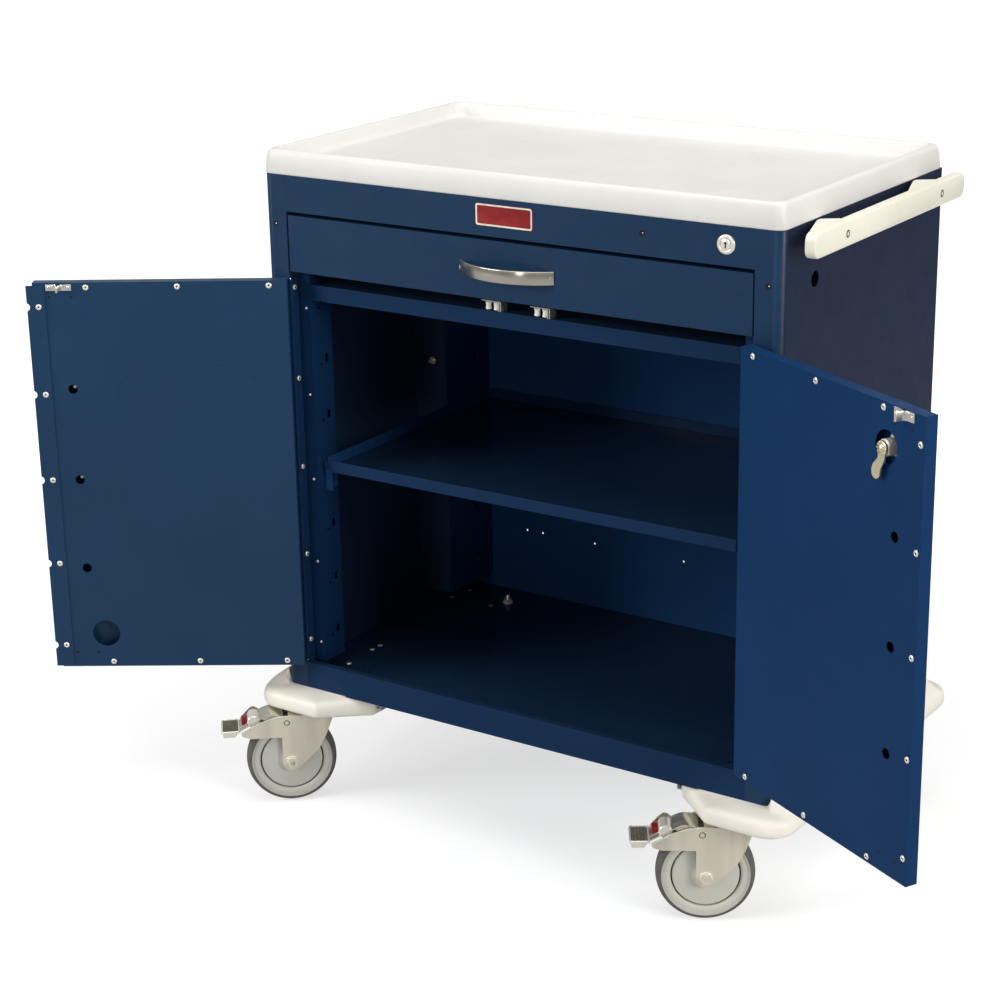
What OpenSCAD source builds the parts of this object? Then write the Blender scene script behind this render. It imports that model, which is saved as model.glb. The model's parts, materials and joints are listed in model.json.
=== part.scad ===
// Two-door utility cart on swivel casters: a sheet-steel cabinet with a drawer over a
// shelved cupboard, a moulded worktop tray, a side push handle and corner bumpers.
// Millimetres. +Z is up, +X is to the cart's right seen from the front, -Y is the front.
// The doors are modelled open and each joint starts from that pose.

/* [Cabinet] */
// Width of the cabinet over its side panels
cabinet_w = 762; // [740:1:790]
// Depth of the cabinet from its front face to its rear edge
cabinet_d = 452; // [440:1:470]
// Height of the cabinet's top above the ground
cabinet_top = 893; // [885:1:905]
// Height of the cabinet's bottom edge above the ground
cabinet_bottom = 165; // [162:1:167]
// Thickness of the cabinet's sheet steel
sheet = 1.5; // [1.2:0.1:2]
// Outside radius of the vertical front corners
corner_r = 12; // [8:1:14]
// Width of each front stile beside the opening
stile_w = 35.5; // [32:0.5:40]
// Height of the header above the drawer
header_h = 48.2; // [46:0.1:52]
// Height of the sill below the doors
sill_h = 39.5; // [36:0.5:42]
// Height of the cupboard floor above the ground
floor_z = 180; // [176:1:184]

/* [Drawer] */
// Height of the drawer front
drawer_front_h = 75.3; // [74:0.1:77]
// Gap above the drawer front
top_gap = 5; // [3:0.5:6]
// Gap beside the drawer front
front_gap = 2.2; // [1.8:0.1:3]
// Length of the drawer box, front to back
drawer_len = 390; // [340:5:400]
// Height of the deck's top under the drawer
deck_top = 744.5; // [742:0.5:746]

/* [Shelf] */
// Height of the top of the shelf's lips
shelf_top = 499; // [420:1:580]
// Height of the shelf's lips
shelf_lip = 16; // [12:1:20]
// Spacing of the slots in the shelf posts
slot_pitch = 78.8; // [76:0.1:80]

/* [Doors] */
// Thickness of a door
door_t = 16; // [15:0.5:16]
// Height of the doors' bottom edge
door_bottom = 207.5; // [206:0.5:210]
// Height of the doors' top edge
door_top = 756.5; // [754:0.5:758]
// Angle that the left door stands open
left_open = 147.9; // [90:0.1:170]
// Angle that the right door stands open
right_open = 152.4; // [90:0.1:170]
// Distance between the holes of a pull
pull_cc = 128; // [96:16:128]

/* [Worktop and handle] */
// Height of the worktop tray
tray_h = 32; // [28:1:36]
// Width of the tray's rim
rim_w = 9; // [7:1:12]
// Depth of the tray's hollow
tray_depth = 20; // [16:1:22]
// Length of the push handle
handle_len = 432; // [400:1:436]
// Distance from the side panel to the handle's outer face
handle_reach = 36; // [34:1:40]

/* [Casters] */
// Radius of the wheels
wheel_r = 63.5; // [60:0.5:64]
// Width of the tyres
tyre_w = 32; // [28:1:34]
// Offset of the axle from the swivel axis
trail = 42; // [38:1:44]
// Distance of the swivel axes from the cart's middle, across
stem_x = 334; // [330:1:336]
// Distance of the swivel axes from the cart's middle, front to back
stem_y = 218; // [214:1:220]
// Heading of the front left wheel, from the cart's right
front_left_heading = 221.3; // [0:0.1:360]
// Heading of the front right wheel
front_right_heading = 212.4; // [0:0.1:360]
// Heading of the rear left wheel
rear_left_heading = 206; // [0:0.1:360]
// Heading of the rear right wheel
rear_right_heading = 219; // [0:0.1:360]
// How far the bumpers stand out from the cabinet
bumper_reach = 36; // [32:1:38]

/* [Hidden] */
$fn = 64;
eps = 0.01;

half_w = cabinet_w / 2;
half_d = cabinet_d / 2;
front_y = -half_d;
opening_x = half_w - stile_w;
header_bottom = cabinet_top - header_h;
sill_top = cabinet_bottom + sill_h;
back_y = half_d - 10;
flange = 20;
fold = 14;

// Hinges: the pins stand just in front of the cabinet's face.
pin_x = opening_x - 2.5;
pin_y = front_y - 0.5;
pin_r = 1.25;
knuckle_r = 2.4;
knuckle_count = 43;
leaf_t = 1;
knuckle_gap = 2.8;
hinge_clear = 0.1;

// Doors: u runs from the hinge pin to the free edge, t from the outer face inwards.
door_mid = (door_bottom + door_top) / 2;
door_u0 = 3;
door_u1 = pin_x - 1.5;
door_face = 0.8;
liner_t = 1.5;
door_in = door_t + door_face;
strip_u0 = door_u1 - 16;
strip_u1 = door_u1 + 8.5;
strip_t = 1.2;
rivet_u = door_u1 - 7;
rivet_step = 120.9;
rivet_row = 267.6;
rivet_row_u = [27, 148.8, 270.3];
rivet_head_r = 4;
rivet_hole_r = 2.1;
screw_hole_u = 297.5;
screw_hole_r = 6.5;
cam_hole_r = 19;
cam_u = 279.5;
cam_z = 707;
strike_u = pin_x - 36.5;
strike_z = 750;
leaf_z0 = door_bottom + 2;
leaf_h = door_top - door_bottom - 4;
knuckle_pitch = leaf_h / knuckle_count;
leaf_screw_z = [236, 363, 490, 615, 741];
leaf_screw_y = front_y + 9.5;

// Posts and shelf
post_face = half_w - 55;
post_front = front_y + 18;
post_depth = 44;
rear_post_y = 102;
post_bottom = 203;
shelf_half = post_face - 1.5;
shelf_front = post_front + 8;
slot_y = post_front + 31;
slot_z0 = 243.4;
slot_count = 7;
slot_back = -12.4;
post_rivet_z0 = 231;
post_rivet_step = 120.2;
post_rivet_count = 5;
clip_drop = 47;
clip_w = 26;

// Drawer
drawer_z0 = header_bottom - top_gap - drawer_front_h;
drawer_half = opening_x - front_gap;
drawer_face_y = front_y + 0.8;
drawer_back_y = drawer_face_y + door_t;
tray_half = post_face - 13.5;
tray_z0 = drawer_z0 + 8;
tray_z1 = drawer_z0 + 61;
slide_z = drawer_z0 + 34;
slide_t = 1.2;
drawer_pull_z = drawer_z0 + 37.8;

// Pulls, locks and catches
pull_reach = 25.5;
pull_half = 71.7;
pull_h = 17;
pull_t = 3.5;
pull_hole_z = [door_mid, door_mid + pull_cc];
lock_at = [opening_x - 38, front_y, header_bottom + 25.7];
drawer_lock_len = 20;
drawer_cam_len = 36;
door_lock_len = 21;
door_cam_len = 34;
catch_x = 36.5;
catch_y = post_front + 10;

// Push handle
handle_z0 = 861;
handle_h = 31;
handle_t = 14;
handle_gap = handle_reach - handle_t;
handle_mid_z = handle_z0 + handle_h / 2;
handle_screw_y = [-130, 144];
screw_head_h = 3;
screw_pad_t = 6;

// Casters
caster_plate_z = 143;
channel_bottom = 146;
bumper_bottom = 138;
crown_z = 134;
fork_half = 23;
fork_t = 2.5;
crease_x = 21;
nose_x = -4;
nose_out_r = 20;
axle_r = 5;
pedal_pivot = [47.5, 124];
pedal_t = 2.2;
tread_half = 26;

// Middle of the whole cart's outline with the doors standing open
left_tip_x = -pin_x + door_u1 * cos(left_open) + door_face * sin(left_open);
right_tip_x = pin_x - door_u1 * cos(right_open) - door_face * sin(right_open);
left_tip_y = pin_y - strip_u1 * sin(left_open) + (door_in + strip_t) * cos(left_open);
bumper_back_y = half_d + bumper_reach;
shift_x = (left_tip_x + right_tip_x) / 2;
shift_y = (left_tip_y + bumper_back_y) / 2;

navy = [0.106, 0.204, 0.314];
navy_dark = [0.086, 0.150, 0.250];
cream = [0.89, 0.87, 0.80];
white_plastic = [0.96, 0.96, 0.94];
steel = [0.72, 0.71, 0.68];
bright = [0.86, 0.86, 0.85];
brass_zinc = [0.80, 0.75, 0.58];
rubber_grey = [0.36, 0.35, 0.33];
wheel_grey = [0.72, 0.72, 0.70];

// Frames of reference
module in_frame() translate([-shift_x, -shift_y, 0]) children();

module left_door_frame()
    in_frame() translate([-pin_x, pin_y, 0]) rotate([0, 0, -left_open]) children();

module right_door_frame()
    in_frame() mirror([1, 0, 0]) translate([-pin_x, pin_y, 0]) rotate([0, 0, -right_open])
        children();

// Places children on a caster's axis, heading along the trailing direction.
module caster_frame(sx, sy, heading)
    in_frame() translate([sx * stem_x, sy * stem_y, 0]) rotate([0, 0, heading]) children();

module both_sides() {
    children();
    mirror([1, 0, 0]) children();
}

module four_corners() both_sides() {
    children();
    mirror([0, 1, 0]) children();
}

// A box between two corners
module block(a, b) translate(a) cube([for (i = [0:2]) b[i] - a[i]]);

// A rod along Y from y0 to y1
module rod_y(x, z, r, y0, y1)
    translate([x, y0, z]) rotate([-90, 0, 0]) cylinder(h = y1 - y0, r = r);

// A plate with rounded corners lying in X and Y
module rounded_plate(w, d, r, h) linear_extrude(h) rounded_outline(w, d, r);

module rounded_outline(w, d, r) {
    square([w - 2 * r, d], center = true);
    square([w, d - 2 * r], center = true);
    for (x = [-1, 1], y = [-1, 1])
        translate([x * (w / 2 - r), y * (d / 2 - r)]) circle(r = r);
}

// Cabinet: plan of a side panel with its rounded corner, stile, jamb and rear flange
module side_plan() {
    bend_x = half_w - corner_r;
    bend_y = front_y + corner_r;
    // side wall
    translate([half_w - sheet, bend_y]) square([sheet, cabinet_d - corner_r]);
    // rounded corner
    intersection() {
        difference() {
            translate([bend_x, bend_y]) circle(r = corner_r);
            translate([bend_x, bend_y]) circle(r = corner_r - sheet);
        }
        translate([bend_x, front_y]) square(corner_r);
    }
    // stile
    translate([opening_x, front_y]) square([half_w - corner_r - opening_x, sheet]);
    // jamb
    translate([opening_x, front_y]) square([sheet, 18]);
    // rear flange
    translate([half_w - flange, half_d - sheet]) square([flange, sheet]);
}

module side_panel() difference() {
    translate([0, 0, cabinet_bottom]) linear_extrude(cabinet_top - cabinet_bottom) side_plan();
    // the top sheet runs over the jamb
    block([opening_x - 1, front_y + sheet, cabinet_top - sheet],
          [opening_x + sheet + eps, front_y + 20, cabinet_top + 1]);
    // finger hole
    translate([half_w - 5, -140, 820.5]) rotate([0, 90, 0]) cylinder(h = 10, r = 10);
}

module left_side_panel() color(navy) in_frame() mirror([1, 0, 0]) side_panel();

module right_side_panel() color(navy) in_frame() difference() {
    side_panel();
    rod_y(363.4, 826.6, 2.5, front_y - 1, front_y + 5);
}

// Top sheet with the header that hangs below its front edge
module top_panel() color(navy) in_frame() difference() {
    union() {
        block([-half_w + sheet, front_y + sheet, cabinet_top - sheet],
              [half_w - sheet, half_d - sheet, cabinet_top]);
        block([-opening_x, front_y, header_bottom], [opening_x, front_y + sheet, cabinet_top]);
        block([-opening_x, front_y, header_bottom],
              [opening_x, front_y + 10, header_bottom + sheet]);
        block([-half_w + flange, half_d - sheet, cabinet_top - 25],
              [half_w - flange, half_d, cabinet_top]);
    }
    both_sides() translate([half_w, front_y, cabinet_top - sheet - eps]) corner_relief();
    rod_y(lock_at[0], lock_at[2], 10.2, front_y - 1, front_y + 5);
    rod_y(195, 871.7, 2.5, front_y - 1, front_y + 5);
}

// Leaves the rounded corner of the side panels clear
module corner_relief() difference() {
    translate([-corner_r, -1, -1]) cube([corner_r + 1, corner_r + 1, 4]);
    translate([-corner_r, corner_r, -2]) cylinder(h = 6, r = corner_r - sheet);
}

// Sill and cupboard floor in one folded pan
module cabinet_floor() color(navy) in_frame() difference() {
    union() {
        block([-opening_x, front_y, cabinet_bottom], [opening_x, front_y + sheet, sill_top]);
        block([-opening_x, front_y, sill_top - sheet], [opening_x, front_y + 10, sill_top]);
        block([-half_w + sheet, front_y + 18, floor_z - sheet], [half_w - sheet, back_y, floor_z]);
        block([-opening_x, front_y + sheet, floor_z - sheet],
              [opening_x, front_y + 18 + eps, floor_z]);
        both_sides() block([half_w - 2 * sheet, front_y + 18, cabinet_bottom],
                           [half_w - sheet, back_y, floor_z]);
        block([-half_w + sheet, back_y - sheet, cabinet_bottom], [half_w - sheet, back_y, floor_z]);
    }
    four_corners() translate([290, 160, floor_z - 5]) cylinder(h = 10, r = 3);
}

module back_panel() color(navy) in_frame() difference() {
    block([-half_w + sheet, back_y, cabinet_bottom],
          [half_w - sheet, back_y + sheet, cabinet_top - sheet]);
    for (x = [-262, -234, -142, 10]) rod_y(x, 281, 1.6, back_y - 1, back_y + 3);
}

// Slotted posts: C channels that carry the slides and the shelf clips
module shelf_posts() color(navy_dark) in_frame() both_sides() {
    difference() {
        union() {
            block([post_face, post_front, post_bottom],
                  [post_face + sheet, post_front + post_depth, header_bottom]);
            block([post_face, post_front, post_bottom],
                  [opening_x + sheet, post_front + sheet, header_bottom]);
            block([post_face, post_front + post_depth - sheet, post_bottom],
                  [half_w - sheet, post_front + post_depth, header_bottom]);
        }
        slots(slot_y);
    }
    difference() {
        union() {
            block([post_face, rear_post_y, post_bottom],
                  [post_face + sheet, back_y, header_bottom]);
            block([post_face, rear_post_y, post_bottom],
                  [half_w - sheet, rear_post_y + sheet, header_bottom]);
        }
        slots(-slot_y);
    }
}

// A column of square slots, each with its locking hole
module slots(y) for (i = [0:slot_count - 1])
    translate([post_face - 2, y, slot_z0 + i * slot_pitch]) {
        translate([0, -3.5, -5.5]) cube([6, 7, 11]);
        translate([0, slot_back, -7]) rotate([0, 90, 0]) cylinder(h = 6, r = 2.2);
    }

// Deck below the drawer; its front is the rail above the doors
module drawer_deck() color(navy) in_frame() {
    deck_y = post_front + 1.5;
    block([-post_face, deck_y, deck_top - sheet], [post_face, back_y - 2, deck_top]);
    block([-post_face, deck_y, deck_top - 21.5], [post_face, deck_y + sheet, deck_top]);
}

module shelf() color(navy) in_frame() {
    z0 = shelf_top - shelf_lip;
    notch_x = shelf_half - 11;
    notch_y = shelf_front + 12;
    back = back_y - 4;
    block([-shelf_half, notch_y, z0], [shelf_half, back, z0 + sheet]);
    block([-notch_x, shelf_front, z0], [notch_x, notch_y + eps, z0 + sheet]);
    block([-notch_x, shelf_front, z0], [notch_x, shelf_front + sheet, shelf_top]);
    block([-shelf_half, back - sheet, z0], [shelf_half, back, shelf_top]);
    both_sides() block([shelf_half - sheet, notch_y, z0], [shelf_half, back, shelf_top]);
}

// Four clips that hook into the posts and hold the shelf
module shelf_clips() color(navy_dark) in_frame() both_sides() {
    shelf_clip(shelf_front + 9.8);
    shelf_clip(rear_post_y + 55);
}

module shelf_clip(y) {
    low = shelf_top - clip_drop;
    ledge = shelf_top - shelf_lip - 0.3;
    block([post_face - 1, y, low], [post_face, y + clip_w, shelf_top - 7]);
    block([post_face - 10.5, y, low], [post_face, y + 1.5, ledge]);
    block([post_face - 10.5, y, ledge - 1.5], [post_face, y + clip_w, ledge]);
}

// Worktop tray: a moulded slab with a sloping rim around its hollow
module worktop_tray() color(white_plastic) in_frame() difference() {
    hull() {
        translate([0, 0, cabinet_top])
            rounded_plate(cabinet_w + 1.5, cabinet_d + 1.5, corner_r, 2, $fn = 32);
        translate([0, 0, cabinet_top + tray_h - 3])
            rounded_plate(cabinet_w - 5, cabinet_d - 5, corner_r - 2, 1, $fn = 32);
        translate([0, 0, cabinet_top + tray_h - 1])
            rounded_plate(cabinet_w - 8, cabinet_d - 8, corner_r - 3, 1, $fn = 32);
    }
    hull() {
        inner_w = cabinet_w - 7 - 2 * rim_w;
        inner_d = cabinet_d - 7 - 2 * rim_w;
        translate([0, 0, cabinet_top + tray_h - tray_depth])
            rounded_plate(inner_w - 8, inner_d - 8, corner_r + 6, 1, $fn = 32);
        translate([0, 0, cabinet_top + tray_h])
            rounded_plate(inner_w, inner_d, corner_r + 8, 1, $fn = 32);
    }
}

// Push handle on the right side
module push_handle_bar() color(cream) in_frame() difference() {
    translate([half_w + handle_gap, 0, handle_mid_z]) rotate([0, 90, 0])
        rounded_plate(handle_h, handle_len, 10, handle_t);
    for (y = handle_screw_y) translate([half_w, y, handle_mid_z]) rotate([0, 90, 0]) {
        cylinder(h = handle_reach + 1, r = 3.2);
        translate([0, 0, handle_reach - screw_head_h]) cylinder(h = screw_head_h + 1, r = 5.4);
    }
}

// Stand-offs between the side panel and the bar: a wedge with its edge on the panel, and a
// low pad behind the bar for the screw
module handle_brackets() color(cream) in_frame() for (y = handle_screw_y) {
    translate([half_w, y, handle_z0 + 1]) linear_extrude(handle_h - 1.5)
        polygon([[0, -32], [handle_gap, -76], [handle_gap, -9], [0, -24]]);
    difference() {
        block([half_w + handle_gap - screw_pad_t, y - 13, handle_mid_z - 8],
              [half_w + handle_gap, y + 12, handle_mid_z + 8]);
        translate([half_w, y, handle_mid_z]) rotate([0, 90, 0]) cylinder(h = handle_gap + 2, r = 3.1);
    }
}

module handle_screws() color(bright) in_frame() for (y = handle_screw_y)
    translate([half_w + handle_gap - screw_pad_t, y, handle_mid_z]) rotate([0, 90, 0]) difference() {
        head_z = screw_pad_t + handle_t - screw_head_h;
        union() {
            cylinder(h = head_z, r = 3);
            translate([0, 0, head_z]) cylinder(h = screw_head_h - 0.5, r = 5.2);
        }
        translate([0, 0, head_z + 1]) cylinder(h = 3, r = 2, $fn = 6);
    }

// Plain plate on the header
module badge() color([0.6, 0.1, 0.14]) in_frame()
    translate([-1.5, front_y, 872]) rotate([90, 0, 0]) rounded_plate(84, 28, 3, 1);

// Cam locks: the barrel runs along Y, its face at y = 0
module lock_barrel(len) difference() {
    union() {
        rod_y(0, 0, 12, -2, 0);
        rod_y(0, 0, 10, -2, len);
    }
    rod_y(0, 0, 6.1, -3, len + 1);
}

module lock_nut(y) difference() {
    translate([0, y, 0]) rotate([-90, 0, 0]) cylinder(h = 3, r = 14.5, $fn = 6);
    rod_y(0, 0, 10.05, y - 1, y + 4);
}

module lock_plug(len, cam_len) {
    difference() {
        rod_y(0, 0, 6, -2.4, len + 0.4);
        block([-0.8, -3, -4], [0.8, 6, 4]);
    }
    rod_y(0, 0, 8, len + 0.4, len + 2.9);
    translate([-6.5, len + 0.4, -cam_len + 6.5]) cube([13, 2.5, cam_len - 6.5]);
    translate([0, 0, -cam_len + 6.5]) rod_y(0, 0, 6.5, len + 0.4, len + 2.9);
    translate([0, len + 2.9, 0]) rotate([-90, 0, 0]) cylinder(h = 3, r = 5.5, $fn = 6);
}

module drawer_lock_housing() color(bright) in_frame() translate(lock_at) {
    lock_barrel(drawer_lock_len);
    lock_nut(sheet + 0.1);
}

// Stands crosswise when open and turns down behind the drawer front
module drawer_lock_cam() color(bright) in_frame() translate(lock_at) rotate([0, 90, 0])
    lock_plug(drawer_lock_len, drawer_cam_len);

// Drawer: its front is a folded pan, open at the back
module drawer_front() color(navy) in_frame() difference() {
    drawer_z1 = drawer_z0 + drawer_front_h;
    block([-drawer_half, drawer_face_y, drawer_z0], [drawer_half, drawer_back_y, drawer_z1]);
    block([-drawer_half + sheet, drawer_face_y + sheet, drawer_z0 + sheet],
          [drawer_half - sheet, drawer_back_y - sheet, drawer_z1 - sheet]);
    block([-drawer_half + fold, drawer_back_y - 2 * sheet, drawer_z0 + fold],
          [drawer_half - fold, drawer_back_y + 1, drawer_z1 - fold]);
    for (x = [-1, 1])
        rod_y(x * pull_cc / 2, drawer_pull_z, rivet_hole_r, drawer_face_y - 1, drawer_face_y + 5);
}

module drawer_tray() color(steel) in_frame() difference() {
    block([-tray_half, drawer_back_y, tray_z0], [tray_half, drawer_back_y + drawer_len, tray_z1]);
    block([-tray_half + sheet, drawer_back_y + sheet, tray_z0 + sheet],
          [tray_half - sheet, drawer_back_y + drawer_len - sheet, tray_z1 + 1]);
}

// Bow pull: a strap bent to an arc, its ends at y = 0 and the bow towards -Y, on two screws
module pull_strap() {
    bow_r = (pull_half * pull_half + pull_reach * pull_reach) / (2 * pull_reach);
    intersection() {
        block([-pull_half, -pull_reach, -pull_h / 2], [pull_half, 0, pull_h / 2]);
        translate([0, bow_r - pull_reach, -pull_h / 2]) difference() {
            cylinder(h = pull_h, r = bow_r, $fn = 128);
            translate([0, 0, -1]) cylinder(h = pull_h + 2, r = bow_r - pull_t, $fn = 128);
        }
    }
    for (s = [-1, 1]) {
        rod_y(s * pull_cc / 2, 0, 4, -4, 0);
        rod_y(s * pull_cc / 2, 0, 2, -1, 4);
    }
}

module drawer_pull() color(steel) in_frame() translate([0, drawer_face_y, drawer_pull_z])
    pull_strap();

// Telescopic slides: a cabinet member, a middle member and a drawer member on each side
module slide_cabinet_members() color(bright) in_frame() both_sides()
    slide_channel(post_face - 8 - slide_t, post_face, 22.5, drawer_back_y + 4, drawer_len - 6, 1);

module slide_middle_members() color(bright) in_frame() both_sides()
    slide_channel(post_face - 11, post_face - 2.5, 16.2, drawer_back_y + 8, drawer_len - 16, 0.45);

module slide_drawer_members() color(bright) in_frame() both_sides()
    slide_channel(tray_half, tray_half + 4.5, 10, drawer_back_y + 2, drawer_len - 4, 0);

// A C channel between x0 and x1, its web set across at a share of that width
module slide_channel(x0, x1, half_h, y, len, share) {
    web_x = x0 + (x1 - x0 - slide_t) * share;
    block([web_x, y, slide_z - half_h], [web_x + slide_t, y + len, slide_z + half_h]);
    for (z = [-half_h, half_h - slide_t])
        block([x0, y, slide_z + z], [x1, y + len, slide_z + z + slide_t]);
}

// Doors: an outer pan, a riveted liner, and on the left door a strip that laps the right one
module door_pan() difference() {
    pan_t = door_in - liner_t;
    block([door_u0, door_face, door_bottom], [door_u1, pan_t, door_top]);
    block([door_u0 + sheet, door_face + sheet, door_bottom + sheet],
          [door_u1 - sheet, pan_t - sheet, door_top - sheet]);
    block([door_u0 + fold, pan_t - 2 * sheet, door_bottom + fold],
          [door_u1 - fold, pan_t + 1, door_top - fold]);
    for (z = pull_hole_z) rod_y(screw_hole_u, z, rivet_hole_r, -1, 5);
}

module door_liner_sheet(hole_z) difference() {
    block([door_u0, door_in - liner_t, door_bottom], [door_u1, door_in, door_top]);
    for (z = [door_mid - pull_cc, door_mid, door_mid + pull_cc])
        rod_y(screw_hole_u, z, screw_hole_r, door_in - 4, door_in + 1);
    rod_y(cam_u - 2, hole_z, cam_hole_r, door_in - 4, door_in + 1);
    for (p = rivet_points()) rod_y(p[0], p[1], rivet_hole_r, door_in - 4, door_in + 1);
}

function rivet_points() = concat(
    [for (i = [-2:2]) [rivet_u, door_mid + i * rivet_step]],
    [for (u = rivet_row_u, s = [-1, 1]) [u, door_mid + s * rivet_row]]);

module rivet(u, z, t) {
    rod_y(u, z, 2, t - liner_t, t + eps);
    difference() {
        rod_y(u, z, rivet_head_r, t, t + 1);
        rod_y(u, z, 1.4, t + 0.4, t + 2);
    }
}

module left_door_skin() color(navy) left_door_frame() door_pan();

module right_door_skin() color(navy) right_door_frame() difference() {
    door_pan();
    rod_y(cam_u, cam_z, 10.1, -1, 5);
}

module left_door_liner() color(navy) left_door_frame() door_liner_sheet(2 * door_mid - cam_z);

module right_door_liner() color(navy) right_door_frame() door_liner_sheet(cam_z);

module left_door_astragal() color(navy) left_door_frame() difference() {
    union() {
        block([strip_u0, door_in, door_bottom + 1.5], [door_u1, door_in + strip_t, door_top - 3.5]);
        block([door_u1 - eps, door_in + 0.4, door_bottom + 1.5],
              [strip_u1, door_in + strip_t, door_top - 3.5]);
    }
    for (i = [-2:2]) {
        z = door_mid + i * rivet_step;
        // clears the right door's rivet when the doors are shut
        rod_y(2 * pin_x - rivet_u, z, rivet_head_r + 1.5, door_in - 1, door_in + 3);
        rod_y(rivet_u, z, rivet_hole_r, door_in - 1, door_in + 3);
    }
    block([strike_u - 20, door_in - 1, strike_z - 6], [strike_u + 16, door_in + 3, strike_z + 14]);
}

module left_door_rivets() color(bright) left_door_frame() for (p = rivet_points())
    rivet(p[0], p[1], p[0] == rivet_u ? door_in + strip_t : door_in);

module right_door_rivets() color(bright) right_door_frame() for (p = rivet_points())
    rivet(p[0], p[1], door_in);

// Strike with the tongue that snaps between a catch's rollers
module strike(plate_h) translate([strike_u, door_in, strike_z]) {
    translate([-17, 0, -plate_h / 2]) cube([34, 1, plate_h]);
    translate([-1.5, 1, -4]) cube([3, 13, 8]);
    translate([0, 13, -4]) cylinder(h = 8, r = 2);
}

module left_door_strike() color(bright) left_door_frame() strike(8.5);

module right_door_strike() color(bright) right_door_frame() strike(11);

module door_pull()
    translate([screw_hole_u, door_face, door_mid + pull_cc / 2]) rotate([0, 90, 0]) pull_strap();

module left_door_pull() color(steel) left_door_frame() door_pull();

module right_door_pull() color(steel) right_door_frame() door_pull();

module door_lock_housing() color(bright) right_door_frame() translate([cam_u, door_face, cam_z]) {
    lock_barrel(door_lock_len);
    lock_nut(sheet + 0.1);
    lock_nut(door_t + 1);
}

module door_lock_cam() color(brass_zinc) right_door_frame() translate([cam_u, door_face, cam_z])
    lock_plug(door_lock_len, door_cam_len);

// Continuous hinges: the frame leaf has the even knuckles and the door leaf the odd ones
module knuckles(first) difference() {
    for (i = [first:2:knuckle_count - 1])
        translate([0, 0, leaf_z0 + i * knuckle_pitch + 0.15])
            cylinder(h = knuckle_pitch - 0.3, r = knuckle_r);
    translate([0, 0, leaf_z0 - 5]) cylinder(h = leaf_h + 10, r = pin_r + hinge_clear);
}

// Gaps in a leaf where the other leaf's knuckles turn
module knuckle_gaps(first) for (i = [first:2:knuckle_count - 1])
    translate([-knuckle_gap, -knuckle_gap, leaf_z0 + i * knuckle_pitch - 0.15])
        cube([2 * knuckle_gap, 2 * knuckle_gap, knuckle_pitch + 0.3]);

module door_leaf() {
    difference() {
        block([door_u0 - leaf_t, 1.1, leaf_z0], [door_u0, door_t - 0.4, leaf_z0 + leaf_h]);
        knuckle_gaps(0);
    }
    knuckles(1);
}

module left_hinge_door_leaf() color(navy) left_door_frame() door_leaf();

module right_hinge_door_leaf() color(navy) right_door_frame() door_leaf();

module frame_leaf() {
    difference() {
        block([opening_x - leaf_t, pin_y + 1.1, leaf_z0], [opening_x, front_y + 16, leaf_z0 + leaf_h]);
        translate([pin_x, pin_y, 0]) knuckle_gaps(1);
        for (z = leaf_screw_z) translate([opening_x - 5, leaf_screw_y, z]) rotate([0, 90, 0])
            cylinder(h = 10, r = 2);
    }
    translate([pin_x, pin_y, 0]) knuckles(0);
}

module left_hinge_frame_leaf() color(navy) in_frame() mirror([1, 0, 0]) frame_leaf();

module right_hinge_frame_leaf() color(navy) in_frame() frame_leaf();

module hinge_pins() color(bright) in_frame() both_sides()
    translate([pin_x, pin_y, door_bottom + 1]) cylinder(h = door_top - door_bottom - 2, r = pin_r);

// Pan screws in the hinge leaves and rivets in the posts
module frame_fasteners() color(bright) in_frame() both_sides() {
    for (z = leaf_screw_z)
        translate([opening_x - leaf_t, leaf_screw_y, z]) rotate([0, -90, 0]) difference() {
            cylinder(h = 1.6, r = 3.6);
            translate([0, 0, 0.8]) cylinder(h = 2, r = 1.3, $fn = 6);
        }
    for (i = [0:post_rivet_count - 1])
        rod_y(post_face + 7, post_rivet_z0 + i * post_rivet_step, 2, post_front - 0.8, post_front);
}

// Roller catches on the deck: folded brackets, each with two rollers
module roller_catches() color(bright) in_frame() both_sides()
    translate([catch_x, catch_y, deck_top]) difference() {
        union() {
            block([-15.5, -8, 0], [15.5, 8, 1.2]);
            block([-15.5, 6.8, 0], [15.5, 8, 12]);
            block([-15.5, -5, 10.8], [15.5, 8, 12]);
        }
        block([-3, -10, 5], [3, 3, 13]);
    }

module catch_rollers() color(white_plastic) in_frame() both_sides() for (s = [-1, 1])
    translate([catch_x + s * 7, catch_y, deck_top + 1.2]) cylinder(h = 9.6, r = 4.6);

// Two front-to-back channels that carry the casters
module base_channels() color(steel) in_frame() both_sides() difference() {
    x0 = half_w - 145;
    x1 = half_w - 7;
    union() {
        block([x0, -204, channel_bottom], [x1, 204, channel_bottom + 2]);
        block([x0 + 62, -half_d - 20, channel_bottom], [x1, half_d + 20, channel_bottom + 2]);
        for (x = [x0, x1 - 2]) block([x, -204, channel_bottom], [x + 2, 204, cabinet_bottom - 4]);
        for (x = [x0, x1 - 8])
            block([x, -200, cabinet_bottom - 5.5], [x + 8, 200, cabinet_bottom]);
    }
    for (y = [-1, 1])
        translate([stem_x, y * stem_y, channel_bottom - 1]) cylinder(h = 5, r = 9);
}

// Corner bumpers: a soft-edged plate round each lower corner with a raised side wing
module corner_bumpers() color(cream) in_frame() four_corners() corner_bumper();

module bumper_outline(inset) {
    x1 = half_w + bumper_reach - inset;
    y1 = half_d + bumper_reach - inset;
    r = 34;
    hull() {
        translate([x1 - r, y1 - r]) circle(r = r);
        translate([308 + inset, y1 - 8]) circle(r = 8);
        translate([250 + inset, half_d - 17]) circle(r = 6);
        translate([x1 - 10, 120 + inset]) circle(r = 10);
        translate([240 + inset, 120 + inset]) circle(r = 10);
    }
}

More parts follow.
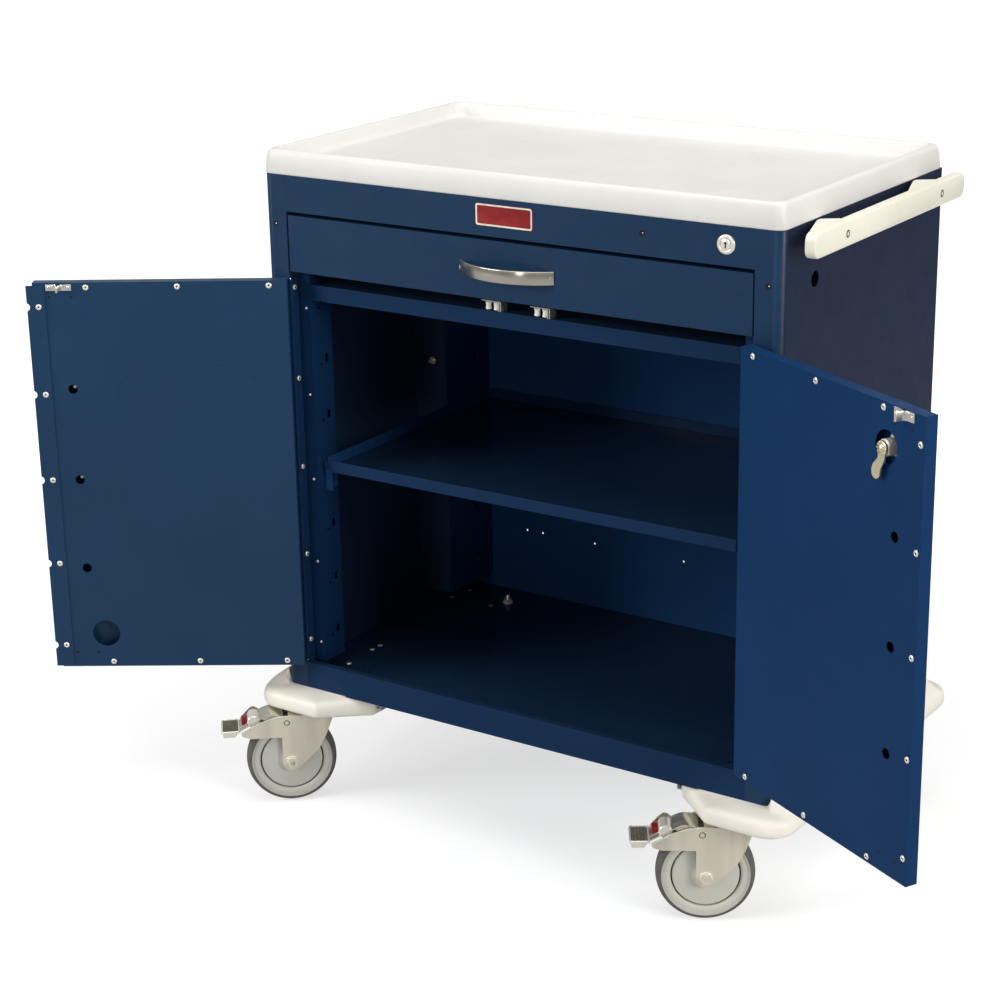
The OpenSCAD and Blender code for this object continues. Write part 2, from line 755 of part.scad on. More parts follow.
module corner_bumper() difference() {
    wing_z = cabinet_bottom - 10;
    union() {
        hull() {
            translate([0, 0, bumper_bottom + 8]) linear_extrude(12, $fn = 32) bumper_outline(0);
            translate([0, 0, bumper_bottom]) linear_extrude(1, $fn = 32) bumper_outline(7);
            translate([0, 0, cabinet_bottom - 1]) linear_extrude(1, $fn = 32) bumper_outline(5);
        }
        // raised wing beside the cabinet
        hull() {
            translate([half_w + 1, half_d + 14, wing_z]) cube([16, 4, 2]);
            translate([half_w + 1, half_d - 24, wing_z]) cube([12, 18, 30]);
            translate([half_w + 1, half_d - 94, wing_z]) cube([20, 4, 10]);
        }
    }
    translate([0, 0, cabinet_bottom]) cube([half_w + 0.3, 2 * half_d, 100]);
    translate([220, 100, cabinet_bottom - 4]) cube([half_w - 220, half_d - 100, 10]);
    block([half_w - 149, 100, caster_plate_z - 0.5], [half_w - 3, 205.5, cabinet_bottom - 3.5]);
    block([half_w - 85, 200, caster_plate_z - 0.5], [half_w - 3, half_d + 24, cabinet_bottom - 3.5]);
    translate([stem_x, stem_y, bumper_bottom - 1]) cylinder(h = 8, r = 40, $fn = 48);
}

// Caster mounting plates with the fixed half of the swivel race
module caster_plates() color(steel) in_frame() four_corners() translate([stem_x, stem_y, 0]) {
    difference() {
        translate([-36, -36, caster_plate_z]) cube([72, 64, 3]);
        for (x = [-28, 28], y = [-28, 20])
            translate([x, y, caster_plate_z - 1]) cylinder(h = 5, r = 4);
        translate([0, 0, caster_plate_z - 1]) cylinder(h = 5, r = 6.2);
    }
    difference() {
        translate([0, 0, bumper_bottom - 0.5])
            cylinder(h = caster_plate_z - bumper_bottom + 0.5, r = 30);
        translate([0, 0, bumper_bottom - 1]) cylinder(h = 6.5, r = 6.2);
    }
}

// Fork: cheeks joined by a rounded front, cut to the side outline below
module fork_side() {
    translate([trail, wheel_r]) circle(r = 13);
    polygon([[trail + 13, wheel_r], [55, 102], [99, 103], [110, 107], [111.5, 112.5], [86, 125.5],
             [64, 133], [48, crown_z], [-24, crown_z], [-18, 126], [-7, 99.5], [4, 79.5],
             [trail - 9, wheel_r - 9.4]]);
}

// Plan of the fork's outside, or of its inside when inset by the thickness: flat cheeks that
// bend inwards at a crease and run on to a round nose
module fork_plan(inset) {
    half = fork_half - inset;
    nose_r = nose_out_r - inset;
    bend = [crease_x - nose_x, half];
    tangent = atan2(bend[1], bend[0]) + acos(nose_r / norm(bend));
    tx = nose_x + nose_r * cos(tangent);
    ty = nose_r * sin(tangent);
    translate([nose_x, 0]) circle(r = nose_r);
    polygon([[tx, ty], [crease_x, half], [crease_x, -half], [tx, -ty]]);
    translate([crease_x, -half]) square([100, 2 * half]);
}

module fork() {
    intersection() {
        translate([0, 0, 40]) linear_extrude(crown_z - 40) difference() {
            fork_plan(0);
            fork_plan(fork_t);
        }
        translate([0, 40, 0]) rotate([90, 0, 0]) linear_extrude(80) fork_side();
    }
    translate([0, 0, crown_z - 3]) linear_extrude(3) intersection() {
        fork_plan(fork_t);
        square([90, 60], center = true);
    }
    translate([0, 0, crown_z]) cylinder(h = bumper_bottom - 0.6 - crown_z, r = 26);
    translate([0, 0, crown_z]) cylinder(h = caster_plate_z + 6 - crown_z, r = 6);
    // axle bolt with its head and nut
    rod_y(trail, wheel_r, axle_r, -fork_half - 1, fork_half + 1);
    for (y = [-fork_half - 5, fork_half])
        translate([trail, y, wheel_r]) rotate([-90, 0, 0]) cylinder(h = 5, r = 8, $fn = 6);
}

module wheel_at() translate([trail, 0, wheel_r]) rotate([90, 0, 0]) children();

module wheel_core() wheel_at() rotate_extrude($fn = 96)
    polygon([[axle_r + 0.06, -19], [12, -19], [14, -15], [40, -13.5], [41.5, -12.5], [43, -14],
             [wheel_r - 9, -14], [wheel_r - 9, 14], [43, 14], [41.5, 12.5], [40, 13.5], [14, 15],
             [12, 19], [axle_r + 0.06, 19]]);

module tyre() wheel_at() rotate_extrude($fn = 96) {
    w = tyre_w / 2;
    polygon([[wheel_r - 9, -w + 2], [wheel_r - 7, -w], [wheel_r - 3.5, -w + 1], [wheel_r - 1, -w + 4],
             [wheel_r, -w + 10], [wheel_r, w - 10], [wheel_r - 1, w - 4], [wheel_r - 3.5, w - 1],
             [wheel_r - 7, w], [wheel_r - 9, w - 2]]);
}

// Brake pedal: a bent plate between the horns of a front fork, with a cupped tread at its end.
// Its ears turn on two studs.
module pedal() {
    half = fork_half - fork_t - 1;
    px = pedal_pivot[0];
    difference() {
        union() {
            pedal_plate(half, [[52, 130.5], [62, 134.8], [70, 136.2], [82, 131.8], [113, 116]]);
            pedal_plate(20, [[111.9, 116.6], [117, 112.6], [122, 110.4]]);
            pedal_plate(tread_half, [[119, 111.2], [126, 110], [136, 110.8], [146, 114]]);
            for (y = [-tread_half + 2, tread_half])
                translate([0, y, 0]) rotate([90, 0, 0]) linear_extrude(2)
                    polygon([[119, 111], [126, 109.5], [136, 110.3], [146, 113.5], [144.5, 108],
                             [137, 105], [126, 104], [119, 105]]);
            for (y = [-half + 2, half]) translate([0, y, 0]) rotate([90, 0, 0]) linear_extrude(2)
                polygon([[px - 6, 119], [px - 6, 129], [52, 130], [62, 134], [70, 135.4], [82, 131],
                         [90, 127], [84, 121], [66, 119]]);
        }
        rod_y(px, pedal_pivot[1], 3.1, -30, 30);
    }
    // round button
    translate([88, 0, 124]) cylinder(h = 12, r = 7);
}

// A plate bent along the given points, which lie on its upper face
module pedal_plate(half, points) translate([0, half, 0]) rotate([90, 0, 0]) linear_extrude(2 * half)
    polygon(concat(points, [for (i = [len(points) - 1:-1:0]) points[i] - [0, pedal_t]]));

// Studs in the cheeks that the pedal turns on
module pedal_studs()
    for (y = [-fork_half - 0.8, tyre_w / 2 + 1])
        rod_y(pedal_pivot[0], pedal_pivot[1], 3, y, y + fork_half - tyre_w / 2 - 0.2);

module front_left_fork() color(steel) caster_frame(-1, -1, front_left_heading) {
    fork();
    pedal_studs();
}

module front_left_wheel() color(wheel_grey) caster_frame(-1, -1, front_left_heading) wheel_core();

module front_left_tyre() color(rubber_grey) caster_frame(-1, -1, front_left_heading) tyre();

module front_left_pedal() color(bright) caster_frame(-1, -1, front_left_heading) pedal();

module front_right_fork() color(steel) caster_frame(1, -1, front_right_heading) {
    fork();
    pedal_studs();
}

module front_right_wheel() color(wheel_grey) caster_frame(1, -1, front_right_heading) wheel_core();

module front_right_tyre() color(rubber_grey) caster_frame(1, -1, front_right_heading) tyre();

module front_right_pedal() color(bright) caster_frame(1, -1, front_right_heading) pedal();

module rear_left_fork() color(steel) caster_frame(-1, 1, rear_left_heading) fork();

module rear_left_wheel() color(wheel_grey) caster_frame(-1, 1, rear_left_heading) wheel_core();

module rear_left_tyre() color(rubber_grey) caster_frame(-1, 1, rear_left_heading) tyre();

module rear_right_fork() color(steel) caster_frame(1, 1, rear_right_heading) fork();

module rear_right_wheel() color(wheel_grey) caster_frame(1, 1, rear_right_heading) wheel_core();

module rear_right_tyre() color(rubber_grey) caster_frame(1, 1, rear_right_heading) tyre();

left_side_panel();
right_side_panel();
top_panel();
cabinet_floor();
back_panel();
shelf_posts();
drawer_deck();
shelf();
shelf_clips();
worktop_tray();
push_handle_bar();
handle_brackets();
handle_screws();
badge();
drawer_lock_housing();
drawer_lock_cam();
drawer_front();
drawer_tray();
drawer_pull();
slide_cabinet_members();
slide_middle_members();
slide_drawer_members();
left_door_skin();
left_door_liner();
left_door_astragal();
left_door_rivets();
left_door_strike();
left_door_pull();
left_hinge_door_leaf();
left_hinge_frame_leaf();
right_door_skin();
right_door_liner();
right_door_rivets();
right_door_strike();
right_door_pull();
right_hinge_door_leaf();
right_hinge_frame_leaf();
door_lock_housing();
door_lock_cam();
hinge_pins();
frame_fasteners();
roller_catches();
catch_rollers();
base_channels();
corner_bumpers();
caster_plates();
front_left_fork();
front_left_wheel();
front_left_tyre();
front_left_pedal();
front_right_fork();
front_right_wheel();
front_right_tyre();
front_right_pedal();
rear_left_fork();
rear_left_wheel();
rear_left_tyre();
rear_right_fork();
rear_right_wheel();
rear_right_tyre();
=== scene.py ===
"""The looks of the medication cart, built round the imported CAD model.

Lengths here are in millimetres from the middle of the cabinet's plan, with z up from the ground.
Door pieces use the doors' own axes: u from the hinge pin to the free edge, t from the outer face
inwards. Caster pieces use the caster's axes: x along the trailing direction.
"""

import json
import math

import bmesh
import bpy
from mathutils import Matrix, Vector


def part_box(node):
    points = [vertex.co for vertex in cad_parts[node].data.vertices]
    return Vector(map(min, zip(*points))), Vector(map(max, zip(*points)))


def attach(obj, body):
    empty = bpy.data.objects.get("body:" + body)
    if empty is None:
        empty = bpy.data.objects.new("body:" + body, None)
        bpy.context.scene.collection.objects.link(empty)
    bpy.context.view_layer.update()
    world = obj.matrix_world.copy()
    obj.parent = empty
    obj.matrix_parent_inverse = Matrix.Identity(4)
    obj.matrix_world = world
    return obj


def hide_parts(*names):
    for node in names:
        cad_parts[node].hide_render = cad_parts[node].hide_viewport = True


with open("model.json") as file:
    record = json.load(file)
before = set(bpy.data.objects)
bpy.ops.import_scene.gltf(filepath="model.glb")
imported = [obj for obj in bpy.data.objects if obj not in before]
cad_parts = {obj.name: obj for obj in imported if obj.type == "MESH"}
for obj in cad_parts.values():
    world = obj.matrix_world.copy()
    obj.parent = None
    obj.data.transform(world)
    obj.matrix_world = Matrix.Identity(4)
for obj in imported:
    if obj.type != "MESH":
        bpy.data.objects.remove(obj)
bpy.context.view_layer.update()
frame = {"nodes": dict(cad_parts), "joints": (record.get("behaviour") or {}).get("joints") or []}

MM = 0.001
LEFT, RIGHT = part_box("left_side_panel"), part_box("right_side_panel")
CENTRE = Vector(((LEFT[0].x + RIGHT[1].x) / 2, (LEFT[0].y + LEFT[1].y) / 2, 0))
HALF_W = (RIGHT[1].x - LEFT[0].x) / 2 / MM
HALF_D = (LEFT[1].y - LEFT[0].y) / 2 / MM
JOINTS = {j["name"]: j for j in frame["joints"]}
CORNERS = {"front_left": (-1, -1), "front_right": (1, -1), "rear_left": (-1, 1),
           "rear_right": (1, 1)}
# Turns of a piece made along z: towards the back, towards the front and towards the right.
# TO_FRONT also stands a plan outline upright.
TO_BACK = Matrix.Rotation(math.radians(-90), 4, "X")
TO_FRONT = Matrix.Rotation(math.radians(90), 4, "X")
TO_RIGHT = Matrix.Rotation(math.radians(90), 4, "Y")


# ---- places
def body_frame(x=0, y=0, z=0):
    """Millimetres from the cabinet's middle, as a matrix into the frame's metres."""
    return Matrix.Translation(CENTRE) @ Matrix.Scale(MM, 4) @ Matrix.Translation((x, y, z))


CABINET = body_frame()


def door_frame(side):
    """The axes of a door at rest: u to its free edge, t inwards. They mirror on the right."""
    joint = JOINTS[("left" if side < 0 else "right") + "_door_hinge"]
    opened = math.radians(-joint["range_deg"][0])
    pin = Vector((joint["pos_m"][0], joint["pos_m"][1], 0))
    mirror = Matrix.Diagonal((-side, 1, 1, 1))
    turn = Matrix.Rotation(-opened, 4, "Z")
    return Matrix.Translation(pin) @ mirror @ turn @ Matrix.Scale(MM, 4)


def caster_frame(corner):
    """The axes of a caster: x along the trailing direction, z up from the ground."""
    swivel = JOINTS[corner + "_swivel"]["pos_m"]
    axle = JOINTS[corner + "_spin"]["axis"]
    turn = Matrix.Rotation(math.atan2(-axle[0], axle[1]), 4, "Z")
    return Matrix.Translation((swivel[0], swivel[1], 0)) @ turn @ Matrix.Scale(MM, 4)


def box_of(points):
    """The lowest and the highest corner of the points' box."""
    return [Vector([pick(p[i] for p in points) for i in range(3)]) for pick in (min, max)]


def islands(node, place):
    """The boxes of a CAD node's separate solids, in millimetres in the axes of place."""
    bm = bmesh.new()
    bm.from_mesh(frame["nodes"][node].data)
    bmesh.ops.remove_doubles(bm, verts=bm.verts, dist=1e-6)
    bm.transform(place.inverted())
    seen, boxes = set(), []
    for start in bm.verts:
        if start in seen:
            continue
        seen.add(start)
        stack, found = [start], []
        while stack:
            vert = stack.pop()
            found.append(vert.co)
            for edge in vert.link_edges:
                other = edge.other_vert(vert)
                if other not in seen:
                    seen.add(other)
                    stack.append(other)
        boxes.append(box_of(found))
    bm.free()
    return boxes


def box_in(node, place):
    """The whole CAD node's box, in millimetres in the axes of place."""
    inverse = place.inverted()
    return box_of([inverse @ vert.co for vert in frame["nodes"][node].data.vertices])


def middle_of(low, high):
    return (low + high) / 2


def half_of(low, high):
    return (high - low) / 2


def at(x, y, z):
    """A move in millimetres, in the axes of whatever place it follows."""
    return Matrix.Translation((x, y, z))


# ---- outlines
def arc(cx, cy, r, start, end, steps):
    """Points on an arc, its angles in degrees, both ends included."""
    angles = [math.radians(start + (end - start) * i / steps) for i in range(steps + 1)]
    return [(cx + r * math.cos(a), cy + r * math.sin(a)) for a in angles]


def hexagon(r, turned=0):
    """A hexagon of radius r, turned by degrees."""
    return arc(0, 0, r, turned, turned + 300, 5)


def rounded_rect(half_x, half_y, r, steps=6):
    """A rectangle with rounded corners about the origin, anticlockwise."""
    corners = ((1, 1, 0), (-1, 1, 90), (-1, -1, 180), (1, -1, 270))
    points = []
    for sx, sy, start in corners:
        points += arc(sx * (half_x - r), sy * (half_y - r), r, start, start + 90, steps)
    return points


def rounded_polygon(corners, steps=6):
    """An anticlockwise outline from (x, y, r) corners, each rounded to its radius."""
    points = []
    count = len(corners)
    for i, (x, y, r) in enumerate(corners):
        before = Vector(corners[i - 1][:2]) - Vector((x, y))
        after = Vector(corners[(i + 1) % count][:2]) - Vector((x, y))
        before.normalize()
        after.normalize()
        half = before.angle(after) / 2
        middle = (before + after).normalized()
        centre = Vector((x, y)) + middle * (r / math.sin(half))
        touching = [side * (r / math.tan(half)) + Vector((x, y)) - centre
                    for side in (before, after)]
        start, end = [math.degrees(math.atan2(point.y, point.x)) for point in touching]
        turn = (end - start + 180) % 360 - 180
        points += arc(centre.x, centre.y, r, start, start + turn, steps)
    return points


# ---- meshes
def loft(bm, rings, matrix=Matrix()):
    """Skins rings of equal length, each a list of 3-D points, and caps both ends."""
    rows = [[bm.verts.new(matrix @ Vector(p)) for p in ring] for ring in rings]
    faces = []
    for lower, upper in zip(rows, rows[1:]):
        count = len(lower)
        for i in range(count):
            j = (i + 1) % count
            faces.append(bm.faces.new((lower[i], lower[j], upper[j], upper[i])))
    faces.append(bm.faces.new(list(reversed(rows[0]))))
    faces.append(bm.faces.new(rows[-1]))
    return faces


def stack(outline_at, levels):
    """Rings at z levels, where outline_at(inset) gives the plan."""
    return [[(x, y, z) for x, y in outline_at(inset)] for inset, z in levels]


def lathe(bm, profile, matrix=Matrix(), segments=32):
    """Turns an open (r, z) profile about z. Points on the axis close it."""
    rows = []
    for r, z in profile:
        if r < 1e-6:
            rows.append([bm.verts.new(matrix @ Vector((0, 0, z)))] * segments)
            continue
        angles = [2 * math.pi * i / segments for i in range(segments)]
        rows.append([bm.verts.new(matrix @ Vector((r * math.cos(a), r * math.sin(a), z)))
                     for a in angles])
    faces = []
    for lower, upper in zip(rows, rows[1:]):
        for i in range(segments):
            j = (i + 1) % segments
            corners = []
            for vert in (lower[i], lower[j], upper[j], upper[i]):
                if vert not in corners:
                    corners.append(vert)
            if len(corners) > 2:
                faces.append(bm.faces.new(corners))
    return faces


def closed_lathe(bm, profile, matrix=Matrix(), segments=32):
    """Turns a closed (r, z) profile, as for a ring or a bored wheel."""
    return lathe(bm, list(profile) + [profile[0]], matrix, segments)


def prism(bm, outline, z0, z1, matrix=Matrix()):
    """A plan outline raised from z0 to z1."""
    return loft(bm, [[(x, y, z) for x, y in outline] for z in (z0, z1)], matrix)


def sweep(bm, path, section, matrix=Matrix()):
    """Carries a section of (across, up) points along a path in the x-y plane, up along z."""
    rings = []
    for i, (x, y) in enumerate(path):
        ahead = Vector(path[min(i + 1, len(path) - 1)])
        behind = Vector(path[max(i - 1, 0)])
        along = (ahead - behind).normalized()
        side = Vector((-along.y, along.x))
        rings.append([(x + side.x * a, y + side.y * a, up) for a, up in section])
    return loft(bm, rings, matrix)


def piece(name, bm, place, body, materials, replaces=(), sharp=35, bevel=0.0):
    """Makes a bmesh in millimetres into a piece that rides on a body."""
    unit = place @ Matrix.Scale(1 / MM, 4)
    if unit.determinant() < 0:
        bmesh.ops.scale(bm, vec=(-1, 1, 1), verts=bm.verts)
        unit = unit @ Matrix.Diagonal((-1, 1, 1, 1))
    bmesh.ops.remove_doubles(bm, verts=bm.verts, dist=1e-4)
    bmesh.ops.recalc_face_normals(bm, faces=bm.faces)
    bmesh.ops.scale(bm, vec=(MM, MM, MM), verts=bm.verts)
    for face in bm.faces:
        face.smooth = True
    for edge in bm.edges:
        if len(edge.link_faces) == 2 and edge.calc_face_angle(0) > math.radians(sharp):
            edge.smooth = False
    mesh = bpy.data.meshes.new(name)
    bm.to_mesh(mesh)
    bm.free()
    obj = bpy.data.objects.new(name, mesh)
    bpy.context.scene.collection.objects.link(obj)
    obj.matrix_world = unit
    give_materials(mesh, materials)
    if bevel:
        soften(obj, bevel * MM, sharp)
    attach(obj, body)
    if replaces:
        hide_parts(*replaces)
    return obj


def soften(obj, width, angle):
    """Rounds an object's sharp edges and keeps its flat faces flat."""
    bevel = obj.modifiers.new("Bevel", "BEVEL")
    bevel.width = width
    bevel.segments = 2
    bevel.limit_method = "ANGLE"
    bevel.angle_limit = math.radians(angle)
    bevel.use_clamp_overlap = True
    bevel.harden_normals = True


def give_materials(mesh, materials):
    for material in materials if isinstance(materials, tuple) else (materials,):
        mesh.materials.append(material)


def paint_faces(faces, index):
    for face in faces:
        face.material_index = index


# ---- materials
def feed(node, inputs):
    """Sets a node's sockets, by name, to values or to what other sockets give."""
    for name, source in inputs.items():
        if isinstance(source, bpy.types.NodeSocket):
            node.id_data.links.new(source, node.inputs[name])
        else:
            node.inputs[name].default_value = source


def add_node(tree, kind, inputs):
    node = tree.nodes.new(kind)
    feed(node, inputs)
    return node


class Nodes:
    """A node material that is built up step by step."""

    def __init__(self, name, metallic=0.0, specular=0.5, coat=0.0):
        self.material = bpy.data.materials.new(name)
        self.material.use_nodes = True
        self.tree = self.material.node_tree
        self.shader = self.tree.nodes["Principled BSDF"]
        feed(self.shader, {"Metallic": metallic, "Specular IOR Level": specular,
                           "Coat Weight": coat, "Coat Roughness": 0.1})
        self.coords = self.tree.nodes.new("ShaderNodeTexCoord").outputs["Object"]
        self.normal = None

    def noise(self, scale, detail=4.0, roughness=0.5, stretch=(1, 1, 1)):
        """Noise with scale features to the metre, along axes stretched as given."""
        mapping = add_node(self.tree, "ShaderNodeMapping",
                           {"Scale": stretch, "Vector": self.coords})
        node = add_node(self.tree, "ShaderNodeTexNoise",
                        {"Scale": scale, "Detail": detail, "Roughness": roughness,
                         "Vector": mapping.outputs["Vector"]})
        return node.outputs["Fac"]

    def cells(self, scale):
        """A pebbled pattern with scale cells to the metre."""
        node = add_node(self.tree, "ShaderNodeTexVoronoi",
                        {"Scale": scale, "Vector": self.coords})
        return node.outputs["Distance"]

    def ramp(self, value, first, second, start=0.3, end=0.7):
        """The first colour where value is below start, and the second above end."""
        node = add_node(self.tree, "ShaderNodeValToRGB", {"Fac": value})
        stops = node.color_ramp.elements
        for stop, position, colour in zip(stops, (start, end), (first, second)):
            stop.position = position
            stop.color = (*colour, 1)
        return node.outputs["Color"]

    def shades(self, value, colour, dark, light, start=0.3, end=0.7):
        """The colour times dark to times light."""
        return self.ramp(value, tint(colour, dark), tint(colour, light), start, end)

    def spread(self, value, low, high, start=0.3, end=0.7):
        """Maps a value between start and end to low and high."""
        node = add_node(self.tree, "ShaderNodeMapRange",
                        {"Value": value, "From Min": start, "From Max": end, "To Min": low,
                         "To Max": high})
        return node.outputs["Result"]

    def mix(self, factor, first, second):
        """Blends from the first colour, a socket, to the second, three numbers."""
        node = self.tree.nodes.new("ShaderNodeMix")
        node.data_type = "RGBA"
        self.tree.links.new(factor, node.inputs["Factor"])
        colours = [socket for socket in node.inputs if socket.type == "RGBA"]
        self.tree.links.new(first, colours[0])
        colours[1].default_value = (*second, 1)
        return next(socket for socket in node.outputs if socket.type == "RGBA")

    def bump(self, height, strength, distance):
        """Adds a layer of relief, its height in metres."""
        node = add_node(self.tree, "ShaderNodeBump",
                        {"Strength": strength, "Distance": distance, "Height": height})
        if self.normal is not None:
            self.tree.links.new(self.normal, node.inputs["Normal"])
        self.normal = node.outputs["Normal"]

    def done(self, colour, roughness):
        """Links the colour, the roughness and the relief, and gives the material."""
        self.tree.links.new(colour, self.shader.inputs["Base Color"])
        self.tree.links.new(roughness, self.shader.inputs["Roughness"])
        if self.normal is not None:
            self.tree.links.new(self.normal, self.shader.inputs["Normal"])
        return self.material


def tint(colour, factor):
    """The colour made lighter or darker by a factor."""
    return tuple(min(1.0, c * factor) for c in colour)


def powder_coat(name, colour, rough, specular=0.35, peel=0.16):
    """Powder-coated sheet: slight drift of shade, orange peel and a few dust nibs."""
    mat = Nodes(name, specular=specular)
    base = mat.shades(mat.noise(5, 3), colour, 0.92, 1.08)
    flecked = mat.mix(mat.spread(mat.noise(160, 3), 0, 0.1), base, tint(colour, 1.4))
    mat.bump(mat.noise(620, 2, 0.4), peel, 0.0004)
    mat.bump(mat.noise(48, 2), 0.06, 0.0006)
    return mat.done(flecked, mat.spread(mat.noise(36, 4), rough - 0.05, rough + 0.07))


def moulded(name, colour, rough, grain=900, relief=0.25, specular=0.45):
    """A satin moulding: fine pebble grain, faint mottling and handling marks."""
    mat = Nodes(name, specular=specular)
    base = mat.shades(mat.noise(9, 3), colour, 0.95, 1.03, 0.25, 0.75)
    marks = mat.spread(mat.noise(70, 5, 0.7, (1, 0.25, 1)), 0, 0.35, 0.55, 0.85)
    worn = mat.mix(marks, base, tint(colour, 0.86))
    mat.bump(mat.cells(grain), relief, 0.0003)
    mat.bump(mat.noise(30, 2), 0.08, 0.0008)
    return mat.done(worn, mat.spread(mat.noise(120, 3), rough - 0.06, rough + 0.08))


def brushed(name, colour, rough, stretch, metallic=1.0, relief=0.05):
    """Brushed metal: fine lines and broad soft bands along the axis with the small stretch."""
    mat = Nodes(name, metallic=metallic)
    streak = mat.noise(2600, 2, 0.4, stretch)
    bands = mat.noise(45, 2, 0.4, stretch)
    base = mat.shades(bands, colour, 0.84, 1.06)
    lined = mat.mix(mat.spread(streak, 0, 0.05), base, tint(colour, 0.86))
    mat.bump(streak, relief, 0.0001)
    return mat.done(lined, mat.spread(bands, rough - 0.03, rough + 0.03))


def plated(name, colour, rough, metallic=1.0):
    """Bright plated metal: a faint drift of shade and soft scratches."""
    mat = Nodes(name, metallic=metallic)
    base = mat.shades(mat.noise(60, 2), colour, 0.95, 1.04)
    mat.bump(mat.noise(900, 2, 0.5, (1, 0.2, 1)), 0.02, 0.0001)
    return mat.done(base, mat.spread(mat.noise(90, 2), rough - 0.03, rough + 0.04))


def rubber(name, colour):
    """Grey tread rubber: fine tooth, pale scuffs and dust."""
    mat = Nodes(name, specular=0.3)
    base = mat.shades(mat.noise(40, 5, 0.7), colour, 0.8, 1.35, 0.3, 0.75)
    dusty = mat.mix(mat.spread(mat.noise(260, 3), 0, 0.4, 0.5, 0.8), base, tint(colour, 2.2))
    mat.bump(mat.noise(1100, 3), 0.35, 0.0003)
    return mat.done(dusty, mat.spread(mat.noise(80, 3), 0.52, 0.7))


def enamel(name, colour):
    """Glossy enamel, slightly uneven."""
    mat = Nodes(name, specular=0.25, coat=0.15)
    base = mat.shades(mat.noise(90, 3), colour, 0.85, 1.15)
    mat.bump(mat.noise(260, 2), 0.08, 0.0003)
    return mat.done(base, mat.spread(mat.noise(60, 2), 0.25, 0.4))


def shadow_black(name):
    """The black of painted shade, put in keyholes, grooves, sockets and holes where their shadow
    falls.
    """
    mat = Nodes(name, specular=0.2)
    base = mat.ramp(mat.noise(200, 2), (0.004, 0.004, 0.004), (0.012, 0.011, 0.01))
    return mat.done(base, mat.spread(mat.noise(90, 2), 0.5, 0.7))


# The navy differs from face to face with the light, so each group has its own coat: the navy with
# painted shade for the outer sides, sills, inside tops and walls, and with painted light for the
# doors and inner faces
NAVY = powder_coat("navy coat", (0.0090, 0.034, 0.082), 0.34, 0.16)
NAVY_PAINTED_SIDE_SHADE = powder_coat("navy coat, painted side shade", (0.0045, 0.0125, 0.040), 0.36, 0.2)
NAVY_PAINTED_LEFT_DOOR_LIGHT = powder_coat("navy coat, painted left door light", (0.0105, 0.040, 0.094), 0.32, 0.2)
NAVY_PAINTED_RIGHT_DOOR_LIGHT = powder_coat("navy coat, painted right door light", (0.0062, 0.034, 0.106), 0.36, 0.06)
NAVY_PAINTED_SILL_SHADE = powder_coat("navy coat, painted sill shade", (0.0060, 0.027, 0.076), 0.34, 0.08)
NAVY_PAINTED_INNER_LIGHT = powder_coat("navy coat, painted inner light", (0.013, 0.058, 0.165), 0.42, 0.05, 0.06)
NAVY_GLOSS_PAINTED_SHADE = powder_coat("glossy navy coat, painted shade", (0.010, 0.028, 0.064), 0.16, 0.28, 0.04)
NAVY_PAINTED_WALL_SHADE = powder_coat("navy coat, painted wall shade", (0.014, 0.030, 0.066), 0.34, 0.14)

TRAY = moulded("white moulding", (0.72, 0.71, 0.675), 0.42, 700, 0.1)
CREAM = powder_coat("cream coat", (0.80, 0.77, 0.65), 0.4, 0.3)
BUMPER = moulded("cream moulding", (0.93, 0.885, 0.78), 0.45, 1100, 0.06)
NICKEL = brushed("satin nickel", (0.66, 0.61, 0.53), 0.2, (1, 1, 0.02))
STAINLESS = brushed("brushed stainless", (0.86, 0.80, 0.66), 0.3, (1, 1, 0.02), 0.5, 0.02)
PEDAL_STEEL = plated("stamped steel", (0.62, 0.59, 0.50), 0.24, 0.8)
ZINC = plated("zinc plate", (0.76, 0.75, 0.70), 0.24, 0.8)
BRIGHT = plated("bright nickel", (0.92, 0.88, 0.78), 0.2, 0.5)
YELLOW_ZINC = plated("yellow zinc", (0.84, 0.76, 0.52), 0.2, 0.8)
GREY_STEEL = powder_coat("grey coat", (0.42, 0.43, 0.43), 0.4)
WHEEL_GREY = moulded("grey moulding", (0.60, 0.60, 0.53), 0.42, 1000, 0.06)
SIDEWALL = moulded("light rubber", (0.50, 0.49, 0.44), 0.5, 900, 0.06, 0.3)
TREAD = rubber("grey rubber", (0.105, 0.10, 0.09))
PAD_RUBBER = rubber("pad rubber", (0.13, 0.12, 0.09))
NYLON = moulded("white nylon", (0.93, 0.92, 0.84), 0.35, 1500, 0.05)
RED = enamel("red enamel", (0.24, 0.010, 0.012))
BORDER = enamel("cream enamel", (0.80, 0.74, 0.62))
# painted shade for keyholes, sockets, grooves, holes and screw recesses
PAINTED_SHADE_BLACK = shadow_black("painted recess shade")


# ---- carried-over CAD nodes
def dress(node, materials, edge=0.5, choose=None):
    """Gives a CAD node its materials and rounds its edges by edge millimetres.

    choose(normal, centre) picks the material's index for each face.
    """
    obj = frame["nodes"][node]
    obj.data.materials.clear()
    give_materials(obj.data, materials)
    for polygon in obj.data.polygons:
        polygon.material_index = choose(polygon.normal, polygon.center) if choose else 0
    if edge:
        flat = obj.modifiers.new("Planar", "DECIMATE")
        flat.decimate_type = "DISSOLVE"
        flat.angle_limit = math.radians(0.5)
        weld = obj.modifiers.new("Weld", "WELD")
        weld.merge_threshold = 1e-6
        soften(obj, edge * MM, 30)


